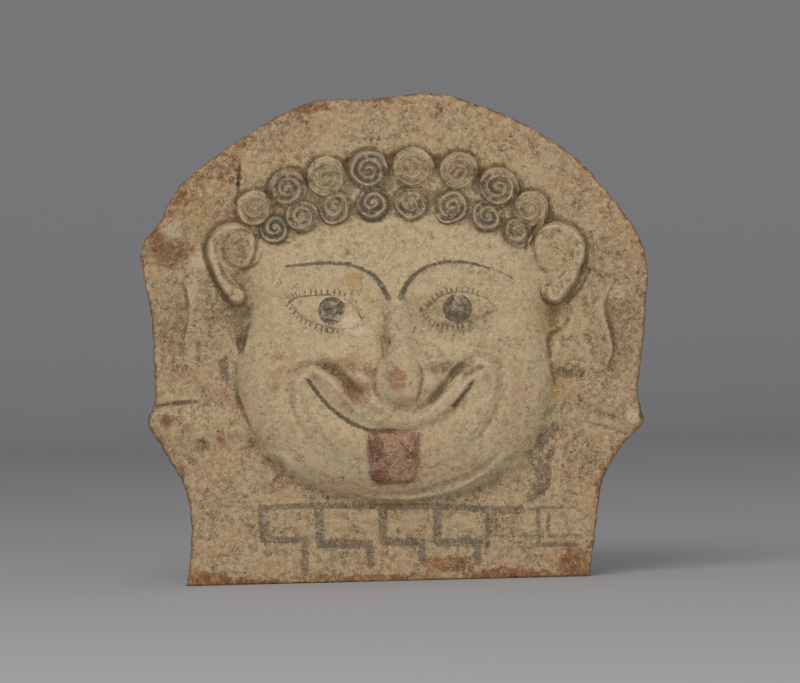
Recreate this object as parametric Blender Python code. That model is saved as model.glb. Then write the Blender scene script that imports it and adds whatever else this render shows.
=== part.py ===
"""A clay antefix pressed as a gorgon's mask: a slab with an arched top and hollowed flanks.

The face looks along -Y, +X is on its left as it is seen, and it stands on its cut base at z = 0.
The mask is drawn in millimetres on a sheet that stands upright. The base was trimmed a little out
of square to it, so the drawing is turned by that angle and then brought to the antefix's height.
"""

import math

import bmesh
import bpy
import numpy as np
from mathutils.geometry import delaunay_2d_cdt

# Driving sizes, in metres
ANTEFIX_HEIGHT = 0.195
SLAB_THICKNESS = 0.024
EDGE_ROUND = 0.0018
TILE_RADIUS = 0.062
TILE_WALL = 0.015
TILE_SCAR_DEPTH = 0.0035

# How finely the clay is followed, in drawn millimetres
FINE_STEP = 1.85
OUTLINE_STEP = 3.4
BASE_STEP = 8.0
TILE_ARC_STEPS = 28
LINE_STEPS = 6
SHEET_WIDTH = 240.0
SHEET_HEIGHT = 200.0
LATTICE_BORDER = 1.5
CURL_RINGS = (1.03, 0.84, 0.45)
EAR_RINGS = (-0.35, 0.9, 2.2)
JAW_RINGS = (1.004, 0.985, 0.95)
TONGUE_RINGS = (-0.3, 1.2)

# The drawing starts here: all places and sizes below are drawn millimetres, x across and z up
TRIM_ANGLE = math.radians(1.43)
BASE_LEFT = -80.4
BASE_RIGHT = 81.0

LEFT_FLANK = [(-78.8, 10.4), (-78.8, 24.4), (-81.2, 37.6), (-88.4, 50.4), (-94.0, 59.2)]
LEFT_KNOB_AND_SIDE = [(-95.6, 64.4), (-93.0, 73.4), (-93.6, 88.4), (-94.4, 104.4), (-97.6, 122.4)]
LEFT_SHOULDER = [(-98.2, 134.0), (-90.8, 144.4), (-83.2, 158.0), (-70.8, 168.4)]
CROWN = [(-51.6, 181.6), (-30.8, 191.6), (-14.8, 193.2), (-8.8, 192.8), (17.2, 195.2), (33.2, 192.0)]
RIGHT_SHOULDER = [(49.2, 185.6), (65.2, 177.2), (81.2, 164.0), (95.2, 147.2), (101.8, 136.8)]
RIGHT_SIDE = [(104.4, 125.6), (104.0, 112.4), (102.4, 92.4), (100.8, 78.4), (101.6, 70.4)]
RIGHT_KNOB_AND_FLANK = [(102.8, 64.0), (99.6, 59.6), (92.4, 51.6), (86.8, 40.4), (84.8, 30.4), (83.2, 16.4)]
OUTLINE = (
    [(BASE_LEFT, BASE_LEFT * math.tan(TRIM_ANGLE))]
    + LEFT_FLANK
    + LEFT_KNOB_AND_SIDE
    + LEFT_SHOULDER
    + CROWN
    + RIGHT_SHOULDER
    + RIGHT_SIDE
    + RIGHT_KNOB_AND_FLANK
    + [(BASE_RIGHT, BASE_RIGHT * math.tan(TRIM_ANGLE))]
)

HEAD_CENTRE = (3.2, 84.4)
HEAD_HALF_WIDTH = 63.2
HEAD_TO_CHIN = 52.0
HEAD_TO_TOP = 82.0
HEAD_RELIEF = 17.0
JAW_SQUARENESS = 2.3
SKULL_SQUARENESS = 3.0

# Each curl is a round boss: centre and radius
UPPER_CURLS = [
    (-52.4, 148.8, 6.6),
    (-40.0, 156.4, 6.7),
    (-24.0, 161.2, 7.2),
    (-7.2, 164.4, 7.2),
    (11.6, 165.2, 7.5),
    (29.2, 163.6, 7.0),
    (44.8, 157.6, 7.3),
    (57.2, 148.8, 6.6),
]
LOWER_CURLS = [
    (-44.8, 140.4, 5.9),
    (-34.4, 145.2, 6.3),
    (-21.2, 149.6, 6.6),
    (-5.6, 150.8, 6.6),
    (9.6, 151.2, 6.8),
    (26.0, 149.6, 6.6),
    (40.0, 146.0, 6.4),
    (52.0, 139.2, 5.8),
]
CURL_RELIEF = 3.2
CURL_GROUND = 4.2

# An ear is a comma: a round head and a small lobe, each with its radius
LEFT_EAR = ((-60.4, 132.4, 11.4), (-59.2, 113.8, 3.8))
RIGHT_EAR = ((67.8, 133.2, 11.8), (66.2, 114.6, 4.4))
EAR_RELIEF = 8.6
EAR_RIM_WIDTH = 2.2
EAR_DISH_DEPTH = 1.6

# Eyes: centre, half length, half height and tilt in degrees
LEFT_EYE = (-23.2, 107.0, 15.4, 9.0, -12.0)
RIGHT_EYE = (27.6, 107.4, 15.8, 8.2, 4.0)
EYE_RELIEF = 1.9
SOCKET_DEPTH = 1.1
SOCKET_SHARE = 1.35

LEFT_BROW = [(-38.0, 125.4), (-26.0, 127.0), (-14.8, 126.0), (-6.8, 121.6), (0.8, 112.0)]
RIGHT_BROW = [(5.6, 112.4), (7.6, 117.2), (17.2, 126.0), (28.0, 127.4), (48.4, 121.6)]
BROW_RELIEF = 0.9
BROW_WIDTH = 2.6

NOSE_TOP = (3.4, 117.0)
NOSE_TIP = (6.0, 80.0)
NOSE_TOP_HALF_WIDTH = 5.0
NOSE_TIP_HALF_WIDTH = 10.0
NOSE_RELIEF = 6.6
NOSTRIL_WINGS = [(-6.2, 80.6, 6.6), (17.0, 80.2, 6.6)]
NOSTRIL_RELIEF = 4.6

CHEEKS = [(-24.0, 90.5, 14.0, 8.0), (31.0, 91.0, 14.0, 8.0)]
CHEEK_RELIEF = 2.2

UPPER_LIP_LEFT = [(-28.6, 84.4), (-22.8, 79.4), (-14.0, 72.4)]
UPPER_LIP_RIGHT = [(5.2, 65.0), (18.2, 68.2), (28.0, 75.4), (40.2, 84.4)]
UPPER_LIP = UPPER_LIP_LEFT + UPPER_LIP_RIGHT
LIP_RADIUS = 4.2
LIP_RELIEF = 2.7
MOUTH_SLIT_LEFT = [(-29.6, 78.4), (-22.8, 70.4), (-14.8, 64.4)]
MOUTH_SLIT_RIGHT = [(5.2, 59.6), (15.2, 62.4), (25.2, 68.4), (34.2, 78.4)]
MOUTH_SLIT = MOUTH_SLIT_LEFT + MOUTH_SLIT_RIGHT
SLIT_RADIUS = 1.5
SLIT_DEPTH = 1.8
LOWER_LIP_LEFT = [(-32.0, 79.0), (-30.0, 68.0), (-20.0, 57.5)]
LOWER_LIP_RIGHT = [(5.0, 51.0), (21.0, 55.5), (33.0, 66.0), (38.8, 79.0)]
LOWER_LIP = LOWER_LIP_LEFT + LOWER_LIP_RIGHT
LOWER_LIP_RADIUS = 5.4
LOWER_LIP_RELIEF = 1.7

TONGUE_TOP = 60.0
TONGUE_TIP = 39.4
TONGUE_MIDDLE = 2.8
TONGUE_HALF_WIDTH = 10.4
TONGUE_TIP_HALF_WIDTH = 9.0
TONGUE_CORNER = 4.0
TONGUE_RELIEF = 2.8

CHIN_LINE = [(-26.0, 38.4), (-8.0, 33.0), (8.0, 32.4), (24.0, 35.0), (39.6, 44.0)]
CHIN_LINE_RADIUS = 1.3
CHIN_LINE_RELIEF = 0.9

# Snakes: the line of the body, its half width and how far it stands out
SNAKES = [
    ([(-70.0, 122.0), (-74.0, 111.0), (-71.0, 98.0), (-66.5, 86.0), (-69.0, 73.5)], 7.0, 4.6),
    ([(-90.4, 62.6), (-78.8, 64.6), (-66.0, 66.4), (-57.5, 67.0)], 5.0, 4.6),
    ([(-66.0, 60.0), (-65.6, 50.0), (-60.4, 41.0)], 3.2, 2.0),
    ([(79.6, 126.0), (81.6, 112.4), (80.4, 98.0), (76.0, 82.0)], 6.6, 3.8),
    ([(71.5, 97.0), (70.5, 89.0), (73.5, 80.0)], 5.4, 4.6),
    ([(81.2, 78.8), (93.0, 75.0), (100.0, 67.6)], 3.6, 3.6),
    ([(69.6, 54.8), (69.2, 44.0), (67.2, 33.0)], 3.2, 2.0),
]
# Snakes' coils seen as rings: centre, radius of the ring's middle and its half width
COILS = [(-48.6, 47.2, 5.0, 3.0), (-74.0, 53.4, 4.4, 2.8), (55.4, 45.0, 5.0, 3.0)]
COIL_RELIEF = 1.8
SNAKE_EYES = [(-89.6, 65.0, 2.0), (101.2, 66.0, 1.8)]
SNAKE_EYE_DEPTH = 2.6

# Hollows beside the snakes and the cheeks: line, half width and depth
HOLLOWS = [
    ([(-93.6, 69.2), (-78.0, 71.8), (-60.0, 72.6)], 1.8, 1.6),
    ([(-59.4, 106.0), (-60.2, 94.0), (-61.4, 84.0), (-58.0, 66.0)], 2.6, 2.4),
    ([(67.0, 104.0), (67.8, 90.0), (66.0, 76.0)], 2.2, 2.0),
    ([(81.0, 63.4), (94.0, 60.6)], 2.0, 1.6),
]

# The lost flake at the upper left: a line that bounds it and how deep it went
FLAKE_EDGE = [(-97.0, 134.0), (-82.0, 146.0), (-72.4, 159.2), (-59.6, 158.0), (-57.6, 170.0)]
FLAKE_DEPTH = 1.6
FLAKE_SLOPE_WIDTH = 2.5
BEYOND_FLAKE = 1000.0

CLAY_COLOUR = (0.52, 0.42, 0.29, 1.0)
CLAY_ROUGHNESS = 0.9


def through(points):
    """A smooth line through drawn points, as a run of short straight steps."""
    knots = np.array(points, dtype=float)
    knots = np.vstack([2 * knots[0] - knots[1], knots, 2 * knots[-1] - knots[-2]])
    steps = np.linspace(0.0, 1.0, LINE_STEPS, endpoint=False)[:, None]
    runs = []
    for a, b, c, d in zip(knots[:-3], knots[1:-2], knots[2:-1], knots[3:]):
        bend = 2 * a - 5 * b + 4 * c - d
        runs.append(b + 0.5 * steps * (c - a + steps * (bend + steps * (3 * b - a - 3 * c + d))))
    return np.vstack(runs + [knots[-2:-1]])


def spaced(line, step):
    """The same line with points an even step apart, both ends kept."""
    lengths = np.append(0.0, np.cumsum(np.hypot(*np.diff(line, axis=0).T)))
    count = max(2, int(round(lengths[-1] / step)) + 1)
    stops = np.linspace(0.0, lengths[-1], count)
    return np.column_stack([np.interp(stops, lengths, line[:, 0]), np.interp(stops, lengths, line[:, 1])])


def from_line(x, z, points):
    """Each place's distance from a line through drawn points, and its share of the way along it."""
    line = through(points)
    nearest = np.full(np.shape(x), np.inf)
    share = np.zeros(np.shape(x))
    for number, (start, end) in enumerate(zip(line[:-1], line[1:])):
        run = end - start
        along = ((x - start[0]) * run[0] + (z - start[1]) * run[1]) / (run @ run)
        along = np.clip(along, 0.0, 1.0)
        distance = np.hypot(x - start[0] - along * run[0], z - start[1] - along * run[1])
        closer = distance < nearest
        nearest = np.where(closer, distance, nearest)
        share = np.where(closer, (number + along) / (len(line) - 1), share)
    return nearest, share


def rise(value, low, high):
    """0 below low and 1 above high, with a smooth rise between them."""
    share = np.clip((value - low) / (high - low), 0.0, 1.0)
    return share * share * (3.0 - 2.0 * share)


def round_top(distance, radius):
    """A rounded section: 1 on the middle line, 0 at the radius and beyond."""
    return np.clip(1.0 - (distance / radius) ** 2, 0.0, 1.0)


def soft_ridge(distance, radius):
    """A ridge with soft feet: 1 on the middle line, 0 at the radius and beyond."""
    return round_top(distance, radius) ** 2


def head_reach(x, z):
    """0 at the middle of the head and 1 on its edge."""
    across = np.abs(x - HEAD_CENTRE[0]) / HEAD_HALF_WIDTH
    up = z - HEAD_CENTRE[1]
    along = np.where(up > 0, up / HEAD_TO_TOP, -up / HEAD_TO_CHIN)
    power = np.where(up > 0, SKULL_SQUARENESS, JAW_SQUARENESS)
    return (across**power + along**power) ** (1.0 / power)


def inside_curls(x, z):
    """How far inside the nearest curl a place is; less than 0 outside all of them."""
    depth = np.full(np.shape(x), -np.inf)
    for centre_x, centre_z, radius in UPPER_CURLS + LOWER_CURLS:
        depth = np.maximum(depth, radius - np.hypot(x - centre_x, z - centre_z))
    return depth


def head_dome(x, z):
    return HEAD_RELIEF * np.sqrt(np.clip(1.0 - head_reach(x, z) ** 2.4, 0.0, 1.0))


def curls(x, z):
    """The height of the curls where one stands, and 0 elsewhere."""
    ground = np.maximum(head_dome(x, z), CURL_GROUND)
    height = np.zeros(np.shape(x))
    for centre_x, centre_z, radius in UPPER_CURLS + LOWER_CURLS:
        distance = np.hypot(x - centre_x, z - centre_z)
        boss = ground + CURL_RELIEF * np.sqrt(round_top(distance, radius))
        height = np.where(distance < radius, np.maximum(height, boss), height)
    return height


def ear_lean(ear):
    """The direction from an ear's head to its lobe, their distance and the sine of the sides' taper."""
    (head_x, head_z, head_radius), (lobe_x, lobe_z, lobe_radius) = ear
    length = math.hypot(lobe_x - head_x, lobe_z - head_z)
    direction = ((lobe_x - head_x) / length, (lobe_z - head_z) / length)
    return direction, length, (head_radius - lobe_radius) / length


def inside_ear(x, z, ear):
    """How far inside the comma's edge a place is; less than 0 outside it."""
    (head_x, head_z, head_radius), (lobe_x, lobe_z, lobe_radius) = ear
    direction, length, taper = ear_lean(ear)
    side = math.sqrt(1.0 - taper**2)
    along = (x - head_x) * direction[0] + (z - head_z) * direction[1]
    across = np.abs((z - head_z) * direction[0] - (x - head_x) * direction[1])
    past = side * along - taper * across
    by_head = head_radius - np.hypot(x - head_x, z - head_z)
    by_lobe = lobe_radius - np.hypot(x - lobe_x, z - lobe_z)
    between = head_radius - side * across - taper * along
    return np.where(past < 0.0, by_head, np.where(past > side * length, by_lobe, between))


def ears(x, z):
    height = np.zeros(np.shape(x))
    for ear in (LEFT_EAR, RIGHT_EAR):
        inside = inside_ear(x, z, ear)
        dish = EAR_DISH_DEPTH * rise(inside, 0.5 * EAR_RIM_WIDTH, 1.5 * EAR_RIM_WIDTH)
        flap = EAR_RELIEF * np.sqrt(rise(inside, -0.3, 1.6)) - dish
        height = np.maximum(height, flap)
    return height


def eye_reach(x, z, eye):
    """0 at the middle of an eye and 1 on its lids."""
    centre_x, centre_z, half_length, half_height, tilt = eye
    turn = math.radians(tilt)
    across = (x - centre_x) * math.cos(turn) + (z - centre_z) * math.sin(turn)
    up = (z - centre_z) * math.cos(turn) - (x - centre_x) * math.sin(turn)
    return np.hypot(across / half_length, up / half_height)


def eyes_and_brows(x, z):
    height = np.zeros(np.shape(x))
    for eye in (LEFT_EYE, RIGHT_EYE):
        reach = eye_reach(x, z, eye)
        height += EYE_RELIEF * soft_ridge(reach, 1.05)
        height -= SOCKET_DEPTH * rise(reach, 0.75, 1.05) * rise(-reach, -SOCKET_SHARE, -1.05)
    for brow in (LEFT_BROW, RIGHT_BROW):
        height += BROW_RELIEF * soft_ridge(from_line(x, z, brow)[0], BROW_WIDTH)
    return height


def nose(x, z):
    share = np.clip((NOSE_TOP[1] - z) / (NOSE_TOP[1] - NOSE_TIP[1]), 0.0, 1.0)
    middle = NOSE_TOP[0] + (NOSE_TIP[0] - NOSE_TOP[0]) * share
    half_width = NOSE_TOP_HALF_WIDTH + (NOSE_TIP_HALF_WIDTH - NOSE_TOP_HALF_WIDTH) * share**1.6
    under_tip = rise(z, NOSE_TIP[1] - 9.0, NOSE_TIP[1] - 1.0)
    slope = (0.22 + 0.78 * share**1.2) * under_tip * rise(-z, -NOSE_TOP[1] - 3.0, -NOSE_TOP[1] + 5.0)
    height = NOSE_RELIEF * slope * soft_ridge(np.abs(x - middle), 1.6 * half_width)
    for centre_x, centre_z, radius in NOSTRIL_WINGS:
        wing = NOSTRIL_RELIEF * soft_ridge(np.hypot(x - centre_x, z - centre_z), radius)
        height = np.maximum(height, wing)
    return height


def mouth(x, z):
    height = np.zeros(np.shape(x))
    for centre_x, centre_z, half_width, half_height in CHEEKS:
        reach = np.hypot((x - centre_x) / half_width, (z - centre_z) / half_height)
        height += CHEEK_RELIEF * soft_ridge(reach, 1.0)
    distance, share = from_line(x, z, LOWER_LIP)
    height += LOWER_LIP_RELIEF * round_top(distance, LOWER_LIP_RADIUS)
    distance, share = from_line(x, z, UPPER_LIP)
    taper = 0.55 + 0.45 * rise(0.5 - np.abs(share - 0.5), 0.0, 0.25)
    height = np.maximum(height, LIP_RELIEF * round_top(distance, LIP_RADIUS * taper))
    height -= SLIT_DEPTH * soft_ridge(from_line(x, z, MOUTH_SLIT)[0], SLIT_RADIUS)
    return height


def inside_tongue(x, z):
    """How far inside the tongue's edge a place is; less than 0 outside it."""
    share = np.clip((TONGUE_TOP - z) / (TONGUE_TOP - TONGUE_TIP), 0.0, 1.0)
    half_width = TONGUE_HALF_WIDTH + (TONGUE_TIP_HALF_WIDTH - TONGUE_HALF_WIDTH) * share
    over_side = np.abs(x - TONGUE_MIDDLE) - half_width + TONGUE_CORNER
    over_tip = TONGUE_TIP + TONGUE_CORNER - z
    over_corner = np.hypot(np.maximum(over_side, 0.0), np.maximum(over_tip, 0.0))
    inside = TONGUE_CORNER - np.maximum(over_corner, np.maximum(over_side, over_tip))
    return np.minimum(inside, TONGUE_TOP - z)


def tongue(x, z):
    return TONGUE_RELIEF * np.sqrt(rise(inside_tongue(x, z), -0.2, 2.2))


def snakes(x, z):
    height = np.zeros(np.shape(x))
    for line, half_width, relief in SNAKES:
        distance, share = from_line(x, z, line)
        height = np.maximum(height, relief * round_top(distance, half_width))
    for centre_x, centre_z, radius, half_width in COILS:
        distance = np.abs(np.hypot(x - centre_x, z - centre_z) - radius)
        height = np.maximum(height, COIL_RELIEF * soft_ridge(distance, half_width))
    for centre_x, centre_z, radius in SNAKE_EYES:
        height -= SNAKE_EYE_DEPTH * soft_ridge(np.hypot(x - centre_x, z - centre_z), radius)
    return height


def above_flake_edge(x, z):
    """How far a place lies beyond the line that bounds the lost flake; less than 0 on the sound side."""
    edge_x, edge_z = np.array(FLAKE_EDGE).T
    return z - np.interp(x, edge_x, edge_z, right=BEYOND_FLAKE)


def relief(x, z):
    """How far the clay stands in front of the slab's plain field."""
    ground = np.zeros(np.shape(x))
    for line, half_width, depth in HOLLOWS:
        ground -= depth * soft_ridge(from_line(x, z, line)[0], half_width)
    distance, share = from_line(x, z, CHIN_LINE)
    ground += CHIN_LINE_RELIEF * soft_ridge(distance, CHIN_LINE_RADIUS)
    ground -= FLAKE_DEPTH * rise(above_flake_edge(x, z), 0.0, FLAKE_SLOPE_WIDTH)
    dome = head_dome(x, z)
    on_face = dome > 0.0
    features = eyes_and_brows(x, z) + nose(x, z) + mouth(x, z) + tongue(x, z)
    face = np.where(on_face, dome + features * rise(dome, 0.0, 5.0), 0.0)
    beside = np.maximum(ground + snakes(x, z), ears(x, z))
    return np.maximum(np.where(on_face, np.maximum(face, beside), beside), curls(x, z))


def fineness(x, z):
    """2 where the carving is fine, 1 where it is plainer and 0 on the plain field."""
    fine = inside_curls(x, z) > -2.0
    for ear in (LEFT_EAR, RIGHT_EAR):
        fine |= inside_ear(x, z, ear) > -2.0
    for line, half_width, _ in SNAKES:
        fine |= from_line(x, z, line)[0] < half_width + 0.6
    for line, radius in ((UPPER_LIP, 5.0), (LOWER_LIP, 6.4), (MOUTH_SLIT, 2.0)):
        fine |= from_line(x, z, line)[0] < radius
    reach = head_reach(x, z)
    middling = (reach > 0.9) & (reach < 1.06)
    for eye in (LEFT_EYE, RIGHT_EYE):
        middling |= eye_reach(x, z, eye) < 1.4
    for centre_x, centre_z, radius, half_width in COILS:
        middling |= np.hypot(x - centre_x, z - centre_z) < radius + 2.0 * half_width
    for line, half_width, _ in HOLLOWS:
        middling |= from_line(x, z, line)[0] < half_width + 1.5
    for line in (LEFT_BROW, RIGHT_BROW):
        middling |= from_line(x, z, line)[0] < 2.0 * BROW_WIDTH
    middling |= (np.abs(x - NOSE_TIP[0]) < 18.0) & (z > TONGUE_TIP - 3.0) & (z < NOSE_TOP[1])
    return np.where(fine, 2, np.where(middling, 1, 0))


def clearance(places, placed):
    """The distance from each place to the nearest point that is already placed."""
    return np.array([np.hypot(placed[:, 0] - x, placed[:, 1] - z).min() for x, z in places])


def arc(centre_x, centre_z, radius, start, end, step):
    """Points on a round arc, about a step apart."""
    count = max(2, int(round(radius * abs(end - start) / step)) + 1)
    turn = np.linspace(start, end, count)
    return np.column_stack([centre_x + radius * np.cos(turn), centre_z + radius * np.sin(turn)])


def rings_on_curls():
    """Points on each curl in rings, so that its edge is round."""
    rings = []
    for centre_x, centre_z, radius in UPPER_CURLS + LOWER_CURLS:
        for share in CURL_RINGS:
            rings.append(arc(centre_x, centre_z, share * radius, 0.0, 2.0 * math.pi, 1.4 * FINE_STEP)[:-1])
        rings.append(np.array([(centre_x, centre_z)]))
    return rings


def rings_on_ears():
    """Points along each ear's edge, its foot outside and its rim inside."""
    rings = []
    for ear in (LEFT_EAR, RIGHT_EAR):
        (head_x, head_z, head_radius), (lobe_x, lobe_z, lobe_radius) = ear
        direction, length, taper = ear_lean(ear)
        lean = math.atan2(direction[1], direction[0])
        tangent = math.acos(taper)
        for inside in EAR_RINGS:
            start = lean + tangent
            end = lean + 2.0 * math.pi - tangent
            around_head = arc(head_x, head_z, head_radius - inside, start, end, FINE_STEP)
            around_lobe = arc(lobe_x, lobe_z, lobe_radius - inside, -start + 2.0 * lean, start, FINE_STEP)
            rings += [around_head, around_lobe]
            rings.append(spaced(np.vstack([around_head[-1:], around_lobe[:1]]), FINE_STEP))
            rings.append(spaced(np.vstack([around_lobe[-1:], around_head[:1]]), FINE_STEP))
    return rings


def squared_arc(reach, height, squareness, start, end):
    """A stretch of the head's edge, which is an ellipse drawn out towards its corners."""
    turn = np.linspace(start, end, 60)
    across = np.sign(np.cos(turn)) * np.abs(np.cos(turn)) ** (2.0 / squareness)
    up = np.sign(np.sin(turn)) * np.abs(np.sin(turn)) ** (2.0 / squareness)
    x = HEAD_CENTRE[0] + reach * HEAD_HALF_WIDTH * across
    z = HEAD_CENTRE[1] + reach * height * up
    return spaced(np.column_stack([x, z]), 1.4 * FINE_STEP)


def rings_on_jaw():
    """Points along the foot and the brink of the head's edge, from ear to ear under the chin."""
    rings = []
    temple = 0.2 * math.pi
    for reach in JAW_RINGS:
        rings.append(squared_arc(reach, HEAD_TO_TOP, SKULL_SQUARENESS, 0.0, temple))
        rings.append(squared_arc(reach, HEAD_TO_TOP, SKULL_SQUARENESS, math.pi - temple, math.pi))
        rings.append(squared_arc(reach, HEAD_TO_CHIN, JAW_SQUARENESS, math.pi, 2.0 * math.pi))
    return rings


def rings_on_tongue():
    """Points along the tongue's foot and brink."""
    rings = []
    for inside in TONGUE_RINGS:
        half_width = TONGUE_TIP_HALF_WIDTH - TONGUE_CORNER
        low = TONGUE_TIP + TONGUE_CORNER
        radius = TONGUE_CORNER - inside
        left = arc(TONGUE_MIDDLE - half_width, low, radius, math.pi, 1.5 * math.pi, FINE_STEP)
        right = arc(TONGUE_MIDDLE + half_width, low, radius, 1.5 * math.pi, 2.0 * math.pi, FINE_STEP)
        top_half_width = TONGUE_HALF_WIDTH - inside
        top_left = [(TONGUE_MIDDLE - top_half_width, TONGUE_TOP - inside)]
        top_right = [(TONGUE_MIDDLE + top_half_width, TONGUE_TOP - inside)]
        rings.append(spaced(np.vstack([top_left, left, right, top_right]), FINE_STEP))
    return rings


def points_on_the_face(edge, scale):
    """Points inside the edge: rings where the carving steps, and a lattice, closer on fine carving."""
    placed = drawn_in(edge, EDGE_ROUND / scale)
    rings = rings_on_curls() + rings_on_ears() + rings_on_jaw() + rings_on_tongue()
    for place in np.vstack(rings):
        if clearance([place], placed)[0] > 0.55 * FINE_STEP:
            placed = np.vstack([placed, place])
    row_step = FINE_STEP * math.sqrt(0.75)
    row, column = np.mgrid[0 : int(SHEET_HEIGHT / row_step), 0 : int(SHEET_WIDTH / FINE_STEP)]
    shifted = column - row // 2
    x = FINE_STEP * (shifted + row / 2.0) - SHEET_WIDTH / 2.0
    z = row_step * row
    level = fineness(x, z)
    middling = (shifted - row) % 3 == 0
    coarse = (shifted % 3 == 0) & (row % 3 == 0)
    kept = (level == 2) | ((level == 1) & middling) | coarse
    places = np.column_stack([x[kept], z[kept]])
    steps = FINE_STEP * np.array([1.0, math.sqrt(3.0), 3.0])[2 - level[kept]]
    within = inside_outline(places, drawn_in(edge, LATTICE_BORDER * EDGE_ROUND / scale))
    places = places[within]
    free = clearance(places, placed) > np.minimum(0.6 * steps[within], 1.2 * FINE_STEP)
    return np.vstack([placed, places[free]])


def inside_outline(places, edge):
    """Which places lie inside the closed edge."""
    x = places[:, 0]
    z = places[:, 1]
    inside = np.zeros(len(places), dtype=bool)
    for (x0, z0), (x1, z1) in zip(edge, np.roll(edge, -1, axis=0)):
        crossed = (z0 > z) != (z1 > z)
        with np.errstate(divide="ignore", invalid="ignore"):
            crossing = x0 + (z - z0) * (x1 - x0) / (z1 - z0)
        inside ^= crossed & (x < crossing)
    return inside


def levelled(points):
    """Drawn places turned so that the trimmed base lies level, still in drawn millimetres."""
    x, z = np.asarray(points, dtype=float).T
    across = x * math.cos(TRIM_ANGLE) + z * math.sin(TRIM_ANGLE)
    return np.column_stack([across, z * math.cos(TRIM_ANGLE) - x * math.sin(TRIM_ANGLE)])


def tile_feet(scale):
    """Where the tile's two legs stand on the base, in drawn millimetres from left to right."""
    outer = TILE_RADIUS / scale
    inner = (TILE_RADIUS - TILE_WALL) / scale
    return [-outer, -inner, inner, outer]


def drawn_edge():
    """The slab's edge in drawn millimetres: clockwise from the left end of the base, then along it."""
    upper = spaced(through(OUTLINE), OUTLINE_STEP)
    scale = ANTEFIX_HEIGHT / levelled(upper)[:, 1].max()
    stops = [BASE_RIGHT] + tile_feet(scale)[::-1] + [BASE_LEFT]
    base = []
    for start, end in zip(stops[:-1], stops[1:]):
        steps = max(1, int(round((start - end) / BASE_STEP)))
        base += [start + (end - start) * step / steps for step in range(steps)]
    base = np.array([(x, x * math.tan(TRIM_ANGLE)) for x in base[1:]])
    return np.vstack([upper, base]), scale


def drawn_in(edge, distance):
    """The closed edge moved inwards by a distance."""
    forward = np.roll(edge, -1, axis=0) - np.roll(edge, 1, axis=0)
    forward /= np.hypot(forward[:, 0], forward[:, 1])[:, None]
    return edge + distance * np.column_stack([forward[:, 1], -forward[:, 0]])


def triangles(points, lines, ring):
    """Triangles over the points inside the ring, with the given lines kept as edges."""
    found = delaunay_2d_cdt([tuple(p) for p in points], lines, [ring], 1, 1e-5)
    return found[0], found[2], found[3]


def front_face(clay, edge, scale):
    """The carved face. Returns its edge vertices in the order of the edge's points."""
    points = np.vstack([edge, points_on_the_face(edge, scale)])
    places, faces, sources = triangles(points, [], list(range(len(edge)))[::-1])
    drawn = np.array([(place.x, place.y) for place in places])
    heights = relief(drawn[:, 0], drawn[:, 1])
    upright = levelled(drawn) * scale
    corners = []
    rim = {}
    for number, (x, z) in enumerate(upright):
        on_edge = [source for source in sources[number] if source < len(edge)]
        back = EDGE_ROUND if on_edge else 0.0
        corner = clay.verts.new((x, back - heights[number] * scale, max(z, 0.0)))
        corners.append(corner)
        if on_edge:
            rim[on_edge[0]] = corner
    for face in faces:
        clay.faces.new([corners[number] for number in face])
    return [rim[number] for number in range(len(edge))]


def back_face(clay, edge, scale):
    """The plain back with the scar of the roof tile. Returns its edge vertices in the edge's order."""
    points = [tuple(place) for place in levelled(edge)]
    ring = list(range(len(points)))[::-1]
    lines = []
    outer = TILE_RADIUS / scale
    inner = (TILE_RADIUS - TILE_WALL) / scale
    for radius in (outer, inner):
        first = len(points)
        turns = [math.pi * step / TILE_ARC_STEPS for step in range(1, TILE_ARC_STEPS)]
        right_foot = nearest_number(points, (radius, 0.0))
        left_foot = nearest_number(points, (-radius, 0.0))
        points += [(radius * math.cos(turn), radius * math.sin(turn)) for turn in turns]
        chain = [right_foot] + list(range(first, len(points))) + [left_foot]
        lines += list(zip(chain[:-1], chain[1:]))
    places, faces, sources = triangles(points, lines, ring)
    corners = []
    for place in places:
        corners.append(clay.verts.new((place.x * scale, SLAB_THICKNESS, max(place.y * scale, 0.0))))
    scar = []
    for face in faces:
        patch = clay.faces.new([corners[number] for number in face])
        middle = patch.calc_center_median() / scale
        if inner < math.hypot(middle.x, middle.z) < outer:
            scar.append(patch)
    rim = {}
    for number, corner in enumerate(corners):
        for source in sources[number]:
            if source < len(edge):
                rim[source] = corner
    return [rim[number] for number in range(len(edge))], scar


def nearest_number(points, place):
    """The number of the point that lies nearest to a place."""
    distances = [math.hypot(x - place[0], z - place[1]) for x, z in points]
    return distances.index(min(distances))


def raise_scar(clay, scar):
    """Brings the tile's broken end out from the back by its depth."""
    made = bmesh.ops.extrude_face_region(clay, geom=scar)
    moved = [part for part in made["geom"] if isinstance(part, bmesh.types.BMVert)]
    bmesh.ops.translate(clay, verts=moved, vec=(0.0, TILE_SCAR_DEPTH, 0.0))
    bmesh.ops.delete(clay, geom=scar, context="FACES_ONLY")


def clay_material():
    material = bpy.data.materials.new("fired clay")
    material.use_nodes = True
    shader = material.node_tree.nodes["Principled BSDF"]
    shader.inputs["Base Color"].default_value = CLAY_COLOUR
    shader.inputs["Roughness"].default_value = CLAY_ROUGHNESS
    shader.inputs["Metallic"].default_value = 0.0
    material.diffuse_color = CLAY_COLOUR
    return material


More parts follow.
